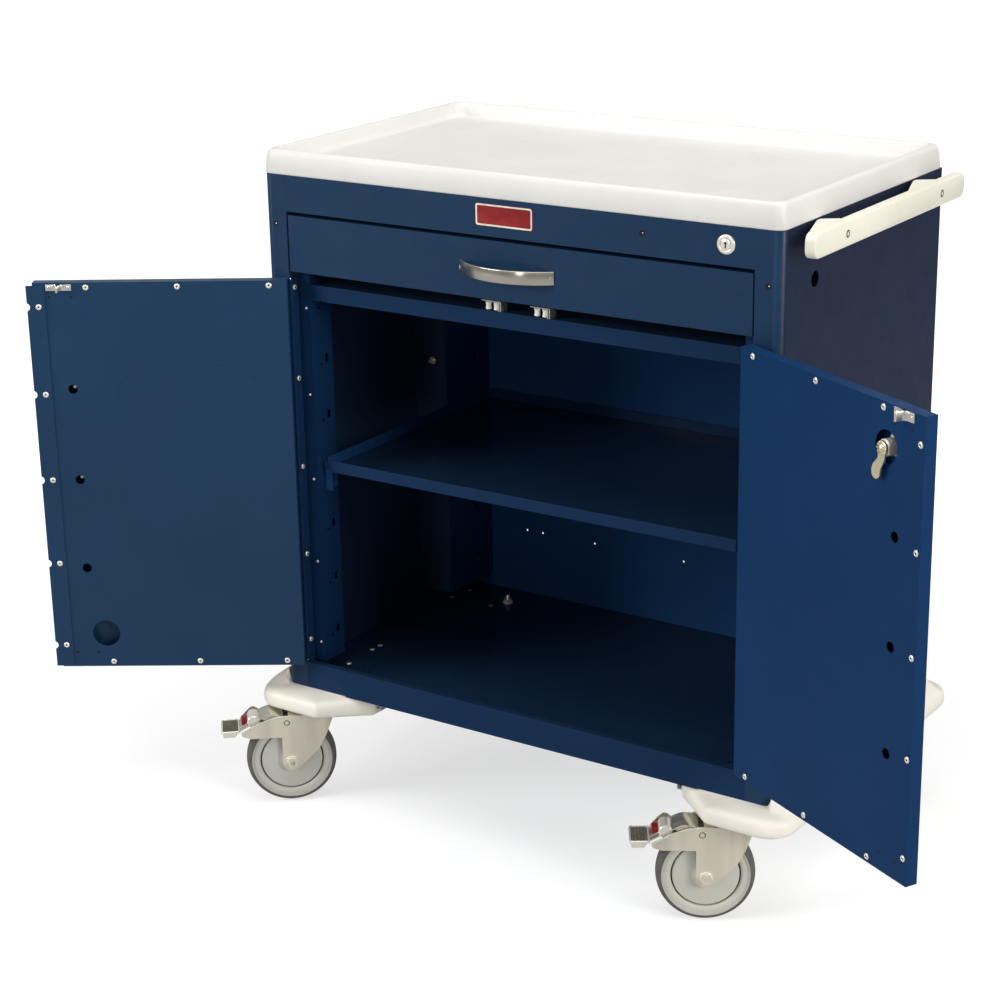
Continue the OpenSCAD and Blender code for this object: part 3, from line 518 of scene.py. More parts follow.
def dress_cad():
    """Materials for the CAD nodes that stay visible."""
    for node in ("top_panel", "drawer_front"):
        dress(node, NAVY, 0.7)
    dress("left_door_astragal", NAVY_PAINTED_LEFT_DOOR_LIGHT, 0.6)
    # each door has its own coat with painted light
    for side, name, coat in ((-1, "left", NAVY_PAINTED_LEFT_DOOR_LIGHT), (1, "right", NAVY_PAINTED_RIGHT_DOOR_LIGHT)):
        # outer side, front and inner faces differ in shade: the outer sides and the inner faces
        # take coats with painted shade, the fronts the plain coat
        dress(name + "_side_panel", (NAVY, NAVY_PAINTED_SIDE_SHADE, NAVY_PAINTED_WALL_SHADE),
              choose=lambda n, c, s=side: (1 if n.x * s > 0.8
                                           else 2 if n.x * s < -0.5 or n.y > 0.5 else 0))
        # the doors' outer faces share the cabinet's coat; their other faces take the door's coat
        # with its painted light
        inwards = door_frame(side).col[1].xyz.normalized()
        dress(name + "_door_skin", (coat, NAVY), 0,
              lambda n, c, into=inwards: 1 if n.dot(into) < -0.8 else 0)
        dress(name + "_door_liner", coat, 0)
    # front faces take the sill's painted shade, tops the glossy coat's painted shade, the rest the
    # inner coat's painted light
    for node in ("cabinet_floor", "drawer_deck", "shelf"):
        dress(node, (NAVY_PAINTED_INNER_LIGHT, NAVY_PAINTED_SILL_SHADE, NAVY_GLOSS_PAINTED_SHADE),
              choose=lambda n, c: 1 if n.y < -0.7 else 2 if n.z > 0.7 else 0)
    # the back panel's rear face takes the side's painted shade, the rest the inner coat's painted
    # light
    dress("back_panel", (NAVY_PAINTED_INNER_LIGHT, NAVY_PAINTED_SIDE_SHADE), choose=lambda n, c: 1 if n.y > 0.5 else 0)
    dress("shelf_clips", NAVY_PAINTED_INNER_LIGHT)
    # the rear posts stand in the cupboard's shade, which their coats paint in: faces in the front
    # half take the sill's painted shade, front faces further back the wall's painted shade, the
    # rest the inner coat's painted light
    dress("shelf_posts", (NAVY_PAINTED_SILL_SHADE, NAVY_PAINTED_WALL_SHADE, NAVY_PAINTED_INNER_LIGHT), 0.3,
          lambda n, c: 0 if c.y < CENTRE.y else 1 if n.y < -0.7 else 2)
    # the hinge leaves take the sill's painted shade
    for node in ("left_hinge_door_leaf", "left_hinge_frame_leaf",
                 "right_hinge_door_leaf", "right_hinge_frame_leaf"):
        dress(node, NAVY_PAINTED_SILL_SHADE, 0)
    dress("hinge_pins", ZINC, 0.3)
    dress("drawer_tray", GREY_STEEL)
    for node in ("slide_cabinet_members", "slide_middle_members", "slide_drawer_members"):
        dress(node, ZINC, 0)
    dress("base_channels", GREY_STEEL)
    dress("caster_plates", ZINC, 0.4)
    for corner in CORNERS:
        dress(corner + "_fork", STAINLESS, 0.6)


# ---- worktop tray and push handle
def worktop_tray():
    """A shallow white tray with a rounded rim."""
    low, high = box_in("worktop_tray", CABINET)
    half_x, half_y, _ = half_of(low, high)
    floor = high.z - 20
    # (inset, height) up the outside, over the rim and down to the tray's floor
    levels = [(1.2, low.z), (0.3, low.z + 0.6), (0, low.z + 2), (0.9, low.z + 16),
              (1.9, high.z - 7), (2.6, high.z - 4), (3.6, high.z - 1.8), (5.2, high.z - 0.5),
              (7.2, high.z), (9.6, high.z - 0.3), (11.4, high.z - 1.4), (12.6, high.z - 3.4),
              (14.6, floor + 7), (15.8, floor + 3.2), (17.4, floor + 1.2), (20, floor + 0.3),
              (24, floor)]

    def outline(inset):
        return rounded_rect(half_x - inset, half_y - inset, 12 + inset * 0.35, 8)

    bm = bmesh.new()
    loft(bm, stack(outline, levels))
    piece("worktop_tray_moulding", bm, CABINET, "cabinet", TRAY,
          ["worktop_tray"], sharp=60)


def push_handle():
    """A flat bar with softened edges."""
    low, high = box_in("push_handle_bar", CABINET)
    _, half_y, half_z = half_of(low, high)
    place = body_frame(low.x, *middle_of(low, high)[1:]) @ TO_RIGHT
    thick = high.x - low.x
    levels = [(2.0, 0), (0.7, 0.3), (0.15, 0.9), (0, 2), (0, thick - 2.6), (0.2, thick - 1.4),
              (0.8, thick - 0.5), (1.9, thick)]

    def outline(inset):
        return rounded_rect(half_z - inset, half_y - inset, 11 - inset, 8)

    bm = bmesh.new()
    loft(bm, stack(outline, levels))
    piece("push_handle_grip", bm, place, "cabinet", CREAM, ["push_handle_bar"],
          sharp=60)


def handle_screws():
    """Socket screws in sunk rings on the handle's face; the rings and the sockets are black,
    painted shade.
    """
    bm = bmesh.new()
    face_x = box_in("push_handle_bar", CABINET)[1].x
    for low, high in islands("handle_screws", CABINET):
        spot = at(face_x, *middle_of(low, high)[1:]) @ TO_RIGHT
        # the sunk ring round each head is painted shade
        rim = closed_lathe(bm, [(3.2, -1), (3.2, 0.25), (4.2, 0.35), (4.9, 0), (4.9, -1)], spot, 28)
        paint_faces(rim, 1)
        lathe(bm, [(0, -0.6), (1.4, -0.6), (1.5, 0.15), (2.5, 0.25), (3.3, -0.2), (3.3, -1),
                   (0, -1)], spot, 28)
        # the hex socket is a dark plate of painted shade
        socket = prism(bm, hexagon(1.35), -0.55, -0.45, spot)
        paint_faces(socket, 1)
    piece("handle_socket_screws", bm, CABINET, "cabinet", (BRIGHT, PAINTED_SHADE_BLACK),
          ["handle_screws"])


def handle_brackets():
    """The handle's wedge stand-offs and the flat pads behind its screws."""
    bm = bmesh.new()
    for low, high in islands("handle_brackets", CABINET):
        if high.z - low.z < 20:
            _, half_y, half_z = half_of(low, high)
            spot = at(low.x, *middle_of(low, high)[1:]) @ TO_RIGHT
            prism(bm, rounded_rect(half_z, half_y, 4), 0, high.x - low.x, spot)
            continue
        # the wedge's long side faces the front, its edge lies on the panel
        gap = high.x - low.x
        plan = [(0.2, high.y - 15, 3), (0.2, high.y - 23, 3), (gap, low.y, 1.5), (gap, high.y, 1.5)]
        outline = rounded_polygon([(low.x + x, y, r) for x, y, r in plan], 5)
        prism(bm, outline, low.z, high.z)
    piece("handle_standoffs", bm, CABINET, "cabinet", CREAM,
          ["handle_brackets"], sharp=50, bevel=1.2)


# ---- badge and locks
def badge():
    """A plain red plate with a raised cream border."""
    low, high = box_in("badge", CABINET)
    x, _, z = middle_of(low, high)
    place = body_frame(x, high.y, z) @ TO_FRONT
    half_x, _, half_z = half_of(low, high)
    thick = high.y - low.y
    rim = 2.2

    def outline(inset):
        return rounded_rect(half_x - inset, half_z - inset, max(3.2 - inset * 0.5, 1), 5)

    bm = bmesh.new()
    loft(bm, stack(outline, [(0, 0), (0, thick * 0.6), (0.4, thick), (rim, thick),
                             (rim + 0.3, thick * 0.75)]))
    for face in bm.faces:
        if face.calc_center_median().z > thick * 0.86:
            face.material_index = 1
    cap = max(bm.faces, key=lambda f: f.calc_area() * (f.calc_center_median().z > 0.1))
    cap.material_index = 0
    piece("badge_plate", bm, place, "cabinet", (RED, BORDER), ["badge"])


def keyed_face(bm, matrix, r_rose, r_plug):
    """A lock's front: a stepped rose round a plug with a keyhole, the keyhole drawn as dark plates
    of painted shade. Its axis is z, outwards.
    """
    lathe(bm, [(r_plug + 0.3, 0.6), (r_plug + 0.5, 1.5), (r_plug + 2.2, 2.0), (r_rose - 1.4, 1.7),
               (r_rose - 0.3, 0.9), (r_rose, 0), (r_rose, -0.6), (r_plug + 0.3, -0.6),
               (r_plug + 0.3, 0.6)], matrix, 40)
    lathe(bm, [(0, 1.9), (r_plug - 1.6, 1.9), (r_plug - 0.9, 1.6), (r_plug, 1.2), (r_plug, -0.4),
               (0, -0.4)], matrix, 40)
    # the keyhole's slot and round are painted shade
    slot = prism(bm, rounded_rect(0.9, r_plug * 0.42, 0.6, 3), 1.6, 2.05,
                 matrix @ at(0, -r_plug * 0.22, 0))
    hole = prism(bm, arc(0, r_plug * 0.25, 1.7, 0, 345, 12), 1.6, 2.07, matrix)
    paint_faces(slot + hole, 1)


def drawer_lock():
    """The lock on the header, with its cam behind."""
    x, _, z = middle_of(*box_in("drawer_lock_housing", CABINET))
    place = body_frame(x, -HALF_D, z)
    bm = bmesh.new()
    keyed_face(bm, TO_FRONT, 12, 7)
    lathe(bm, [(0, 19), (9.3, 19), (9.8, 18.4), (9.8, 0), (0, 0)], TO_BACK, 40)
    prism(bm, hexagon(14.3, 30), 1.6, 4.6, TO_BACK)
    piece("drawer_lock_barrel", bm, place, "cabinet", (BRIGHT, PAINTED_SHADE_BLACK),
          ["drawer_lock_housing"], bevel=0.25)
    lever("drawer_lock_lever", place @ TO_RIGHT, "drawer_lock", ZINC,
          "drawer_lock_cam", 20, 36, 0)


def lever(name, place, body, material, node, reach, length, sway):
    """A cam lever on the end of a lock's plug: hub, toothed washer, screw and a swept arm."""
    bm = bmesh.new()
    at_end = at(0, reach + 0.4, 0) @ TO_BACK
    # the arm narrows below the hub, then sways to one side into a rounded end
    tip_r = 7.1
    left, right = [], []
    for share, aside, half in ((0.1, 0, 7.6), (0.2, 0, 6.4), (0.3, 0, 5.7), (0.4, 0.05, 5.6),
                               (0.5, 0.25, 6.2), (0.6, 0.5, 6.9), (0.7, 0.74, 7.2), (0.8, 0.9, 7.3),
                               (0.9, 0.98, 7.2)):
        down = share * (length - tip_r)
        left.append((aside * sway - half, down))
        right.append((aside * sway + half, down))
    tip = arc(sway, length - tip_r, tip_r, 0, 180, 12)
    outline = arc(0, 0, 8.5, 190, 350, 12) + right + tip + list(reversed(left))
    prism(bm, outline, 0.2, 2.7, at_end)
    lathe(bm, [(0, 3.3), (7.2, 3.3), (7.9, 3.0), (8.0, 2.7), (0, 2.7)], at_end, 32)
    for i in range(10):
        angle = math.radians(36 * i)
        tooth = at(6.6 * math.cos(angle), 6.6 * math.sin(angle), 0)
        lathe(bm, [(0, 4.0), (0.9, 3.8), (1.1, 3.2), (0, 3.2)], at_end @ tooth, 8)
    lathe(bm, [(0, 5.8), (2.2, 5.7), (4.0, 5.1), (4.8, 4.1), (5.0, 3.2), (0, 3.2)], at_end, 28)
    lathe(bm, [(0, reach + 0.4), (5.9, reach + 0.4), (5.9, 0), (0, 0)], TO_BACK, 28)
    piece(name, bm, place, body, material, [node], bevel=0.3)


def door_lock(place):
    """The right door's lock: a barrel with flats, its nut and its swept cam lever."""
    low, high = max(islands("door_lock_housing", place), key=lambda box: box[1].y)
    u, _, z = middle_of(low, high)
    rose = 2
    length = high.y - low.y - rose
    spot = place @ at(u, low.y + rose, z)
    bm = bmesh.new()
    keyed_face(bm, TO_FRONT, 12, 6.5)
    barrel = arc(0, 0, 9.8, 0, 352.5, 47)
    flats = [(max(-8.4, min(8.4, x)), y) for x, y in barrel]
    prism(bm, flats, 0, length - 1.2, TO_BACK)
    lathe(bm, [(6.4, length), (8.6, length), (9.0, length - 0.4), (9.0, length - 1.2),
               (6.4, length - 1.2)], TO_BACK, 40)
    prism(bm, hexagon(14.3), 1.6, 4.6, TO_BACK)
    piece("door_lock_barrel", bm, spot, "right_door", (BRIGHT, PAINTED_SHADE_BLACK),
          ["door_lock_housing"], bevel=0.3)
    lever("door_lock_lever", spot, "door_lock", YELLOW_ZINC, "door_lock_cam",
          length, 36.4, -8.8)


# ---- pulls
def pull(name, place, body, node, half, reach, span=128, height=17, thick=3.5):
    """A bow pull: a strap bent to an arc whose ends stand at z = +-half on the y = 0 plane."""
    bow_r = (half * half + reach * reach) / (2 * reach) - thick / 2
    centre_y = bow_r - reach + thick / 2
    half_angle = math.degrees(math.acos((centre_y - 0.3) / bow_r))
    path = arc(0, centre_y, bow_r, 270 - half_angle, 270 + half_angle, 56)
    section = rounded_rect(thick / 2, height / 2, 0.7, 3)
    bm = bmesh.new()
    # the strap runs along the place's z axis
    stand = Matrix.Rotation(math.radians(-90), 4, "Y")
    sweep(bm, path, section, stand)
    for side in (-1, 1):
        lathe(bm, [(0, 4), (4.0, 4), (4.0, 0), (2, 0), (2, -3.6), (0, -3.6)],
              at(0, 0, side * span / 2) @ TO_FRONT, 24)
    piece(name, bm, place, body, NICKEL, [node])


def drawer_pull():
    low, high = box_in("drawer_pull", CABINET)
    foot = box_in("drawer_front", CABINET)[0].y
    x, _, z = middle_of(low, high)
    place = body_frame(x, foot, z) @ TO_RIGHT
    pull("drawer_bow_pull", place, "drawer", "drawer_pull", (high.x - low.x) / 2, foot - low.y)


def door_pull(side, name):
    place = door_frame(side)
    low, high = box_in(name + "_door_pull", place)
    foot = box_in(name + "_door_skin", place)[0].y
    u, _, z = middle_of(low, high)
    spot = place @ at(u, foot, z)
    pull(name + "_door_bow_pull", spot, name + "_door", name + "_door_pull",
         (high.z - low.z) / 2, foot - low.y)


# ---- rivets, strikes, catches
def blind_rivet(bm, matrix):
    """A domed head with its mandrel's dimple, the dimple black as painted shade. Its axis is z,
    outwards.
    """
    faces = lathe(bm, [(0, 0.25), (0.9, 0.3), (1.25, 0.85), (1.9, 1.15), (2.8, 1.05), (3.6, 0.6),
                       (4, 0), (4, -0.5), (0, -0.5)], matrix, 24)
    # the dimple's faces take the painted shade
    paint_faces(faces[:48], 1)


def door_rivets(side, name):
    """The blind rivets that hold a door's liner, and the liner's small spare holes, drawn as discs
    of painted shade.
    """
    place = door_frame(side)
    bm = bmesh.new()
    for low, high in islands(name + "_door_rivets", place):
        u, _, z = middle_of(low, high)
        blind_rivet(bm, at(u, high.y - 1, z) @ TO_BACK)
    liner_t = box_in(name + "_door_liner", place)[1].y
    # spare strike holes, a pair above and a pair below, black with painted shade
    for u in (291, 320):
        for z in (228.8, 737):
            hole = lathe(bm, [(0, 0.1), (1.5, 0.1), (1.9, 0), (1.9, -0.3), (0, -0.3)],
                         at(u, liner_t, z) @ TO_BACK, 14)
            paint_faces(hole, 1)
    piece(name + "_door_blind_rivets", bm, place, name + "_door", (BRIGHT, PAINTED_SHADE_BLACK),
          [name + "_door_rivets"])


def strike(side, name, height):
    """A spring-steel strip folded up into a tongue between two riveted feet."""
    place = door_frame(side)
    low, high = box_in(name + "_door_strike", place)
    u, _, z = middle_of(low, high)
    tongue = high.y - low.y - 1.2
    path = [(-17, 0.5), (-8, 0.5), (-4.4, 0.8), (-2.6, 2.2), (-1.4, 5), (-1.3, tongue - 2.6)]
    path += arc(0, tongue - 1.4, 1.3, 170, 10, 8)
    path += [(1.3, tongue - 2.6), (1.4, 5), (2.6, 2.2), (4.4, 0.8), (8, 0.5), (17, 0.5)]
    bm = bmesh.new()
    sweep(bm, path, rounded_rect(0.45, height / 2, 0.3, 2))
    for x in (-12.5, 12.5):
        lathe(bm, [(0, 1.9), (1.3, 1.8), (2.1, 1.3), (2.3, 0.9), (0, 0.9)],
              at(x, 0, 0) @ TO_BACK, 16)
    piece(name + "_door_spring_strike", bm, place @ at(u, low.y, z), name + "_door",
          ZINC, [name + "_door_strike"])


def catch_rollers():
    """Two roller catches: nylon rollers either side of the strike, and a folded zinc bracket."""
    strike_u = middle_of(*box_in("right_door_strike", door_frame(1)))[0]
    hinge = Vector(JOINTS["right_door_hinge"]["pos_m"]) - CENTRE
    brackets, rollers = bmesh.new(), bmesh.new()
    for low, high in islands("roller_catches", CABINET):
        side = -1 if low.x < 0 else 1
        middle = side * (hinge.x / MM - strike_u)
        for k in (-1, 1):
            spot = at(middle + 6.0 * k, low.y + 4.1, low.z + 1)
            lathe(rollers, [(0, 0), (3.5, 0), (4.0, 0.5), (4.0, 2), (3.5, 2.8), (3.5, 7.2),
                            (4.0, 8), (4.0, 9.5), (3.5, 10), (0, 10)], spot, 24)
        # (x, half width, bottom, height): top, bottom and two side plates
        plates = ((middle, 14.5, high.z, 1.0), (middle, 14.5, low.z - 1.4, 1.0),
                  (middle + 11.2, 0.6, low.z - 0.4, 12.4), (middle + 14, 0.6, low.z - 0.4, 12.4))
        for x, half_x, z, tall in plates:
            loft(brackets, stack(lambda inset: rounded_rect(half_x - inset, 8 - inset, 0.3, 3),
                                 [(0.2, 0), (0, 0.2), (0, tall - 0.2), (0.2, tall)]),
                 matrix=at(x, (low.y + high.y) / 2, z))
    piece("catch_nylon_rollers", rollers, CABINET, "cabinet", NYLON,
          ["catch_rollers"])
    piece("catch_brackets", brackets, CABINET, "cabinet", ZINC,
          ["roller_catches"])


def frame_fasteners():
    """Pan-head screws in the hinge leaves, rivets in the posts and holes in front; the screws'
    recesses and the holes are black, painted shade.
    """
    bm = bmesh.new()
    for low, high in islands("frame_fasteners", CABINET):
        x, y, z = middle_of(low, high)
        side = -1 if x < 0 else 1
        if high.x - low.x < 2:
            inner = low.x if side > 0 else high.x
            turn = Matrix.Rotation(math.radians(-90 * side), 4, "Y")
            head = lathe(bm, [(0, 0.8), (1.3, 0.8), (1.5, 1.7), (2.6, 1.65), (3.3, 1.1), (3.6, 0.2),
                              (3.6, -0.3), (0, -0.3)], at(inner + side * 1.6, y, z) @ turn, 20)
            # the screw's middle recess is painted shade
            paint_faces(head[:40], 1)
        else:
            lathe(bm, [(0, 0.5), (0.6, 0.5), (0.9, 0.9), (1.6, 0.7), (2.0, 0.1), (2.0, -0.2),
                       (0, -0.2)], at(x, high.y, z) @ TO_FRONT, 16)
    # the holes: one on the header and one on each stile, each a black disc of painted shade with a
    # small bright dome off its middle
    stile_x, stile_z = HALF_W - 17.6, 826.6
    for x, z in ((195, 871.7), (stile_x, stile_z), (-stile_x, stile_z)):
        spot = at(x, -HALF_D, z) @ TO_FRONT
        plug = lathe(bm, [(0, 0.1), (3.0, 0.1), (3.6, 0.3), (3.9, 0), (3.9, -0.4), (0, -0.4)],
                     spot, 20)
        paint_faces(plug, 1)
        lathe(bm, [(0, 0.9), (0.6, 0.75), (0.9, 0.1), (0, 0.1)], spot @ at(0.9, 0.8, 0), 12)
    piece("frame_screws_and_rivets", bm, CABINET, "cabinet", (BRIGHT, PAINTED_SHADE_BLACK),
          ["frame_fasteners"])


# ---- inside the cabinet
def inside_fasteners():
    """Screw heads on the cupboard's floor, their middle recesses painted shade, and a bolt end on
    each rear post.
    """
    # the sheet lies 15 mm above the floor node's lowest edge
    floor_z = islands("cabinet_floor", CABINET)[0][0].z + 15
    bm = bmesh.new()
    # (x, y) on the left; the right side mirrors them
    screws = [(-279, 139), (-343, 176), (-350, 137), (-330, -95), (-329, -77), (-328, -154)]
    for side in (-1, 1):
        for x, y in screws:
            head = lathe(bm, [(0, 0.2), (1.2, 0.25), (1.5, 0.9), (3.0, 0.8), (3.8, 0), (3.8, -0.5),
                              (0, -0.5)], at(-side * x, y, floor_z), 18)
            # each head's middle recess is painted shade
            paint_faces(head[:36], 1)
        spot = at(side * 265, 164, floor_z)
        lathe(bm, [(0, 12), (2.6, 12), (3.0, 11.4), (3.0, 6), (0, 6)], spot, 18)
        prism(bm, hexagon(6.6), 0.8, 6.2, spot)
        lathe(bm, [(0, 1.0), (8.2, 1.0), (8.5, 0.6), (8.5, -0.3), (0, -0.3)], spot, 28)
        post = at(side * 349, 102, 564) @ TO_FRONT
        lathe(bm, [(0, 9.5), (1.4, 9.3), (2.0, 8.5), (2.0, 3.4), (3.4, 3.2), (3.9, 2.2), (4.1, 0.8),
                   (5.4, 0.7), (5.6, 0), (0, 0)], post, 24)
    piece("inside_screws_and_bolts", bm, CABINET, "cabinet", (BRIGHT, PAINTED_SHADE_BLACK))


# ---- bumpers
def corner_bumper(corner):
    """A soft moulded plate round a lower corner, with a raised wing beside the cabinet."""
    sx, sy = CORNERS[corner]
    low, high = box_in("corner_bumpers", CABINET)
    out_x, out_y, base = high.x, high.y, low.z
    stem = JOINTS[corner + "_swivel"]["pos_m"]
    stem_x = abs(stem[0] - CENTRE.x) / MM
    stem_y = abs(stem[1] - CENTRE.y) / MM

    def outline(inset):
        # (x, y, radius)
        corners = [(238, 124, 14), (out_x - 2, 112, 20), (out_x, out_y, 36), (306, out_y, 10),
                   (243, 205, 9)]
        middle = Vector((stem_x, stem_y))
        shrunk = []
        for x, y, r in corners:
            toward = (middle - Vector((x, y))) / 20
            toward = Vector((max(-1, min(1, toward.x)), max(-1, min(1, toward.y))))
            shrunk.append((x + toward.x * inset, y + toward.y * inset, max(r - inset * 0.6, 5)))
        return rounded_polygon(shrunk, 9)

    # the side runs are split up so that the wing can rise along them
    full = outline(0)
    splits = [max(1, round((Vector(b) - Vector(a)).length / 3.5))
              for a, b in zip(full, full[1:] + full[:1])]

    def split_outline(inset):
        points = outline(inset)
        return [tuple(Vector(a).lerp(Vector(b), k / n))
                for a, b, n in zip(points, points[1:] + points[:1], splits) for k in range(n)]

    def surface(x, y, z):
        """Lifts the top into the wing beside the cabinet."""
        if x <= HALF_W:
            return z
        along = 1 / (1 + math.exp((y - 228) / 2.6)) / (1 + math.exp((148 - y) / 5))
        return min(z + 22 * along * max(0, 1 - (x - HALF_W) / (out_x - HALF_W)), base + 46.8)

    # the underside is hollowed round the caster's stem
    hole_r = 38
    hole = []
    for x, y in split_outline(9):
        angle = math.atan2(y - stem_y, x - stem_x)
        hole.append((stem_x + hole_r * math.cos(angle), stem_y + hole_r * math.sin(angle)))
    rings = [[(x, y, base + 7) for x, y in hole], [(x, y, base) for x, y in hole]]
    # (inset, height) down the rounded side, then in over the top
    shell = [(9, 0), (7, 0), (4, 0.4), (1.5, 2.5), (0.3, 6), (0, 10), (0.3, 15), (1.2, 19),
             (3, 22), (6, 24), (9, 25), (12, 25.8), (16, 26.5), (20, 27), (24, 27.5), (28, 28),
             (32, 28.2), (35.6, 28.3)]
    bm = bmesh.new()
    for inset, rise in shell:
        rings.append([(x, y, surface(x, y, base + rise) if rise > 19 else base + rise)
                      for x, y in split_outline(inset)])
    inset, rise = shell[-1]
    rings.append([((x + stem_x) / 2, (y + stem_y) / 2, base + rise)
                  for x, y in split_outline(inset)])
    loft(bm, rings)
    mirror = Matrix.Diagonal((sx, sy, 1, 1))
    # the four bumpers share one CAD node
    replaced = ["corner_bumpers"] if corner == "front_left" else []
    piece(corner + "_bumper", bm, CABINET @ mirror, "cabinet", BUMPER,
          replaced, sharp=60)


# ---- casters
def wheel(corner):
    """A wheel disc with a groove round it, the groove's floor black as painted shade, and its tyre.
    """
    place = caster_frame(corner)
    axle = place.inverted() @ Vector(JOINTS[corner + "_spin"]["pos_m"])
    spot = place @ at(*axle) @ TO_BACK
    body = corner + "_roller"
    disc = [(5.1, 18.5), (10.5, 18.5), (11.6, 17.6), (12.2, 15.4), (13.2, 14.2), (20, 13.4),
            (41.0, 12.9), (42.2, 12.6), (42.7, 11.8), (42.9, 9)]
    groove = [(44.6, 9)]
    rim = [(44.8, 12.2), (45.3, 13.3), (46.5, 14.0), (49, 14.5), (51.6, 14.6), (52.5, 14.4)]
    side = disc + groove + rim
    profile = side + [(r, -y) for r, y in reversed(side)]
    segments = 72
    # the groove's floor, on both faces, takes the painted shade
    dark = len(disc) - 1
    bm = bmesh.new()
    for i, face in enumerate(closed_lathe(bm, profile, segments=segments)):
        if i // segments in (dark, len(profile) - 2 - dark):
            face.material_index = 1
    piece(corner + "_wheel_disc", bm, spot, body, (WHEEL_GREY, PAINTED_SHADE_BLACK),
          [corner + "_wheel"], sharp=45)
    half = [(52.5, 12.8), (52.5, 14.4), (53.4, 14.9), (55.2, 15.5), (56.6, 15.8), (58.6, 15.6),
            (60.4, 14.4), (61.9, 12), (62.8, 8.8), (63.35, 4.6), (63.5, 0)]
    profile = half + [(r, -y) for r, y in reversed(half[:-1])]
    segments = 96
    bm = bmesh.new()
    # light sidewalls, and a darker crown between them
    for i, face in enumerate(closed_lathe(bm, profile, segments=segments)):
        if 3 < i // segments < len(profile) - 5:
            face.material_index = 1
    piece(corner + "_tread", bm, spot, body, (SIDEWALL, TREAD),
          [corner + "_tyre"], sharp=60)


def fork_hardware(corner):
    """The axle's washers and nuts, the pivot pin with a ring of painted shade round its head, and
    the front horns' folded top edges in bright metal as a painted highlight.
    """
    place = caster_frame(corner)
    axle = place.inverted() @ Vector(JOINTS[corner + "_spin"]["pos_m"])
    bm = bmesh.new()
    for s in (-1, 1):
        outwards = TO_BACK if s > 0 else TO_FRONT
        hub = at(axle.x, s * 22.6, axle.z) @ outwards
        lathe(bm, [(0, 1.4), (8.9, 1.4), (9.2, 1.0), (9.2, 0), (0, 0)], hub, 36)
        prism(bm, hexagon(8.2), 1.2, 4.8, hub)
        lathe(bm, [(0, 5.4), (3.2, 5.4), (3.8, 4.8), (3.8, 4), (0, 4)], hub, 20)
        pin = lathe(bm, [(0, 0.9), (2.4, 0.8), (2.8, 0.35), (4.3, 0.35), (4.6, 0), (4.6, -0.4),
                         (0, -0.4)], at(47.5, s * 22.8, 124) @ outwards, 24)
        # a ring round the pin's head is painted shade
        paint_faces(pin[48:72], 1)
        if corner.startswith("front"):
            # the folded top edge is real; its metal, brighter than the fork's, is a painted
            # highlight
            lip = [(49, 133), (64, 131.9), (86, 124.6), (110.5, 111.4)]
            edge = lip + [(x + 0.9, z + 1.2) for x, z in reversed(lip)]
            prism(bm, edge, s * 22.4 - 1.4, s * 22.4 + 1.4, TO_FRONT)
    piece(corner + "_axle_and_pins", bm, place, corner + "_caster",
          (BRIGHT, PAINTED_SHADE_BLACK), bevel=0.25)


def brake_pan(corner, place, body):
    """The stamped pan between the horns, its ears, far flange and near rail."""
    half, sheet = 19.2, 1.8
    path = [(52, 129.6), (57, 132.2), (62, 134.2), (66, 135), (70, 135.2), (75, 134), (82, 131),
            (98, 122.6), (113, 114.6)]
    bm = bmesh.new()
    sweep(bm, path, rounded_rect(sheet / 2, half, 0.6, 2), TO_FRONT)
    for s in (-1, 1):
        ear = [(41.8, 120), (41.8, 128), (46, 129.5)] + path[:7]
        under = [(78, 127), (70, 122), (60, 119.4)]
        prism(bm, ear + under, s * (half - 0.9) - 0.9, s * (half - 0.9) + 0.9, TO_FRONT)
    flange = [(84, 130), (90, 134.6), (95, 135.4), (99, 132.6), (103, 129), (112, 118),
              (113, 114.6), (98, 122.6)]
    prism(bm, flange, half - sheet, half, TO_FRONT)
    rail = [(100, 121.6), (118, 112), (118.6, 113.2), (100.6, 123.6)]
    prism(bm, rail, -10.8, -9.6, TO_FRONT)
    piece(corner + "_brake_pan", bm, place, body, PEDAL_STEEL,
          [corner + "_pedal"], bevel=0.3)


def toe_pad(corner, place, body):
    """A raised bright rim with side lips, round a ribbed rubber pad."""
    # (half x, half y, corner radius, height) over the rim and into its recess
    rim = [(13.0, 22.6, 4, -0.6), (13.1, 22.8, 4.2, 0.6), (12.8, 22.5, 4.2, 2.6),
           (12.2, 21.9, 3.8, 3.1), (11.2, 20.9, 3.2, 3.1), (10.7, 20.4, 2.8, 2.7),
           (10.4, 20.1, 2.6, 1.2)]
    bm = bmesh.new()
    loft(bm, [[(x, y, z) for x, y in rounded_rect(a, b, r, 5)] for a, b, r, z in rim])
    lip = [(-10, 0.4), (11.6, 0.4), (10, -6), (-6, -6)]
    for s in (-1, 1):
        prism(bm, lip, s * 22 - 0.7, s * 22 + 0.7, TO_FRONT)
    piece(corner + "_brake_toe_rim", bm, place, body, BRIGHT, bevel=0.25)
    bm = bmesh.new()
    prism(bm, rounded_rect(10.6, 20.3, 2.6, 5), 0.6, 1.5)
    for k in range(-2, 3):
        loft(bm, stack(lambda inset: rounded_rect(0.9 - inset, 19 - inset, 0.5, 3),
                       [(0, 1.4), (0, 2.1), (0.3, 2.4)]), matrix=at(4.2 * k, 0, 0))
    piece(corner + "_brake_toe_pad", bm, place, body, PAD_RUBBER)


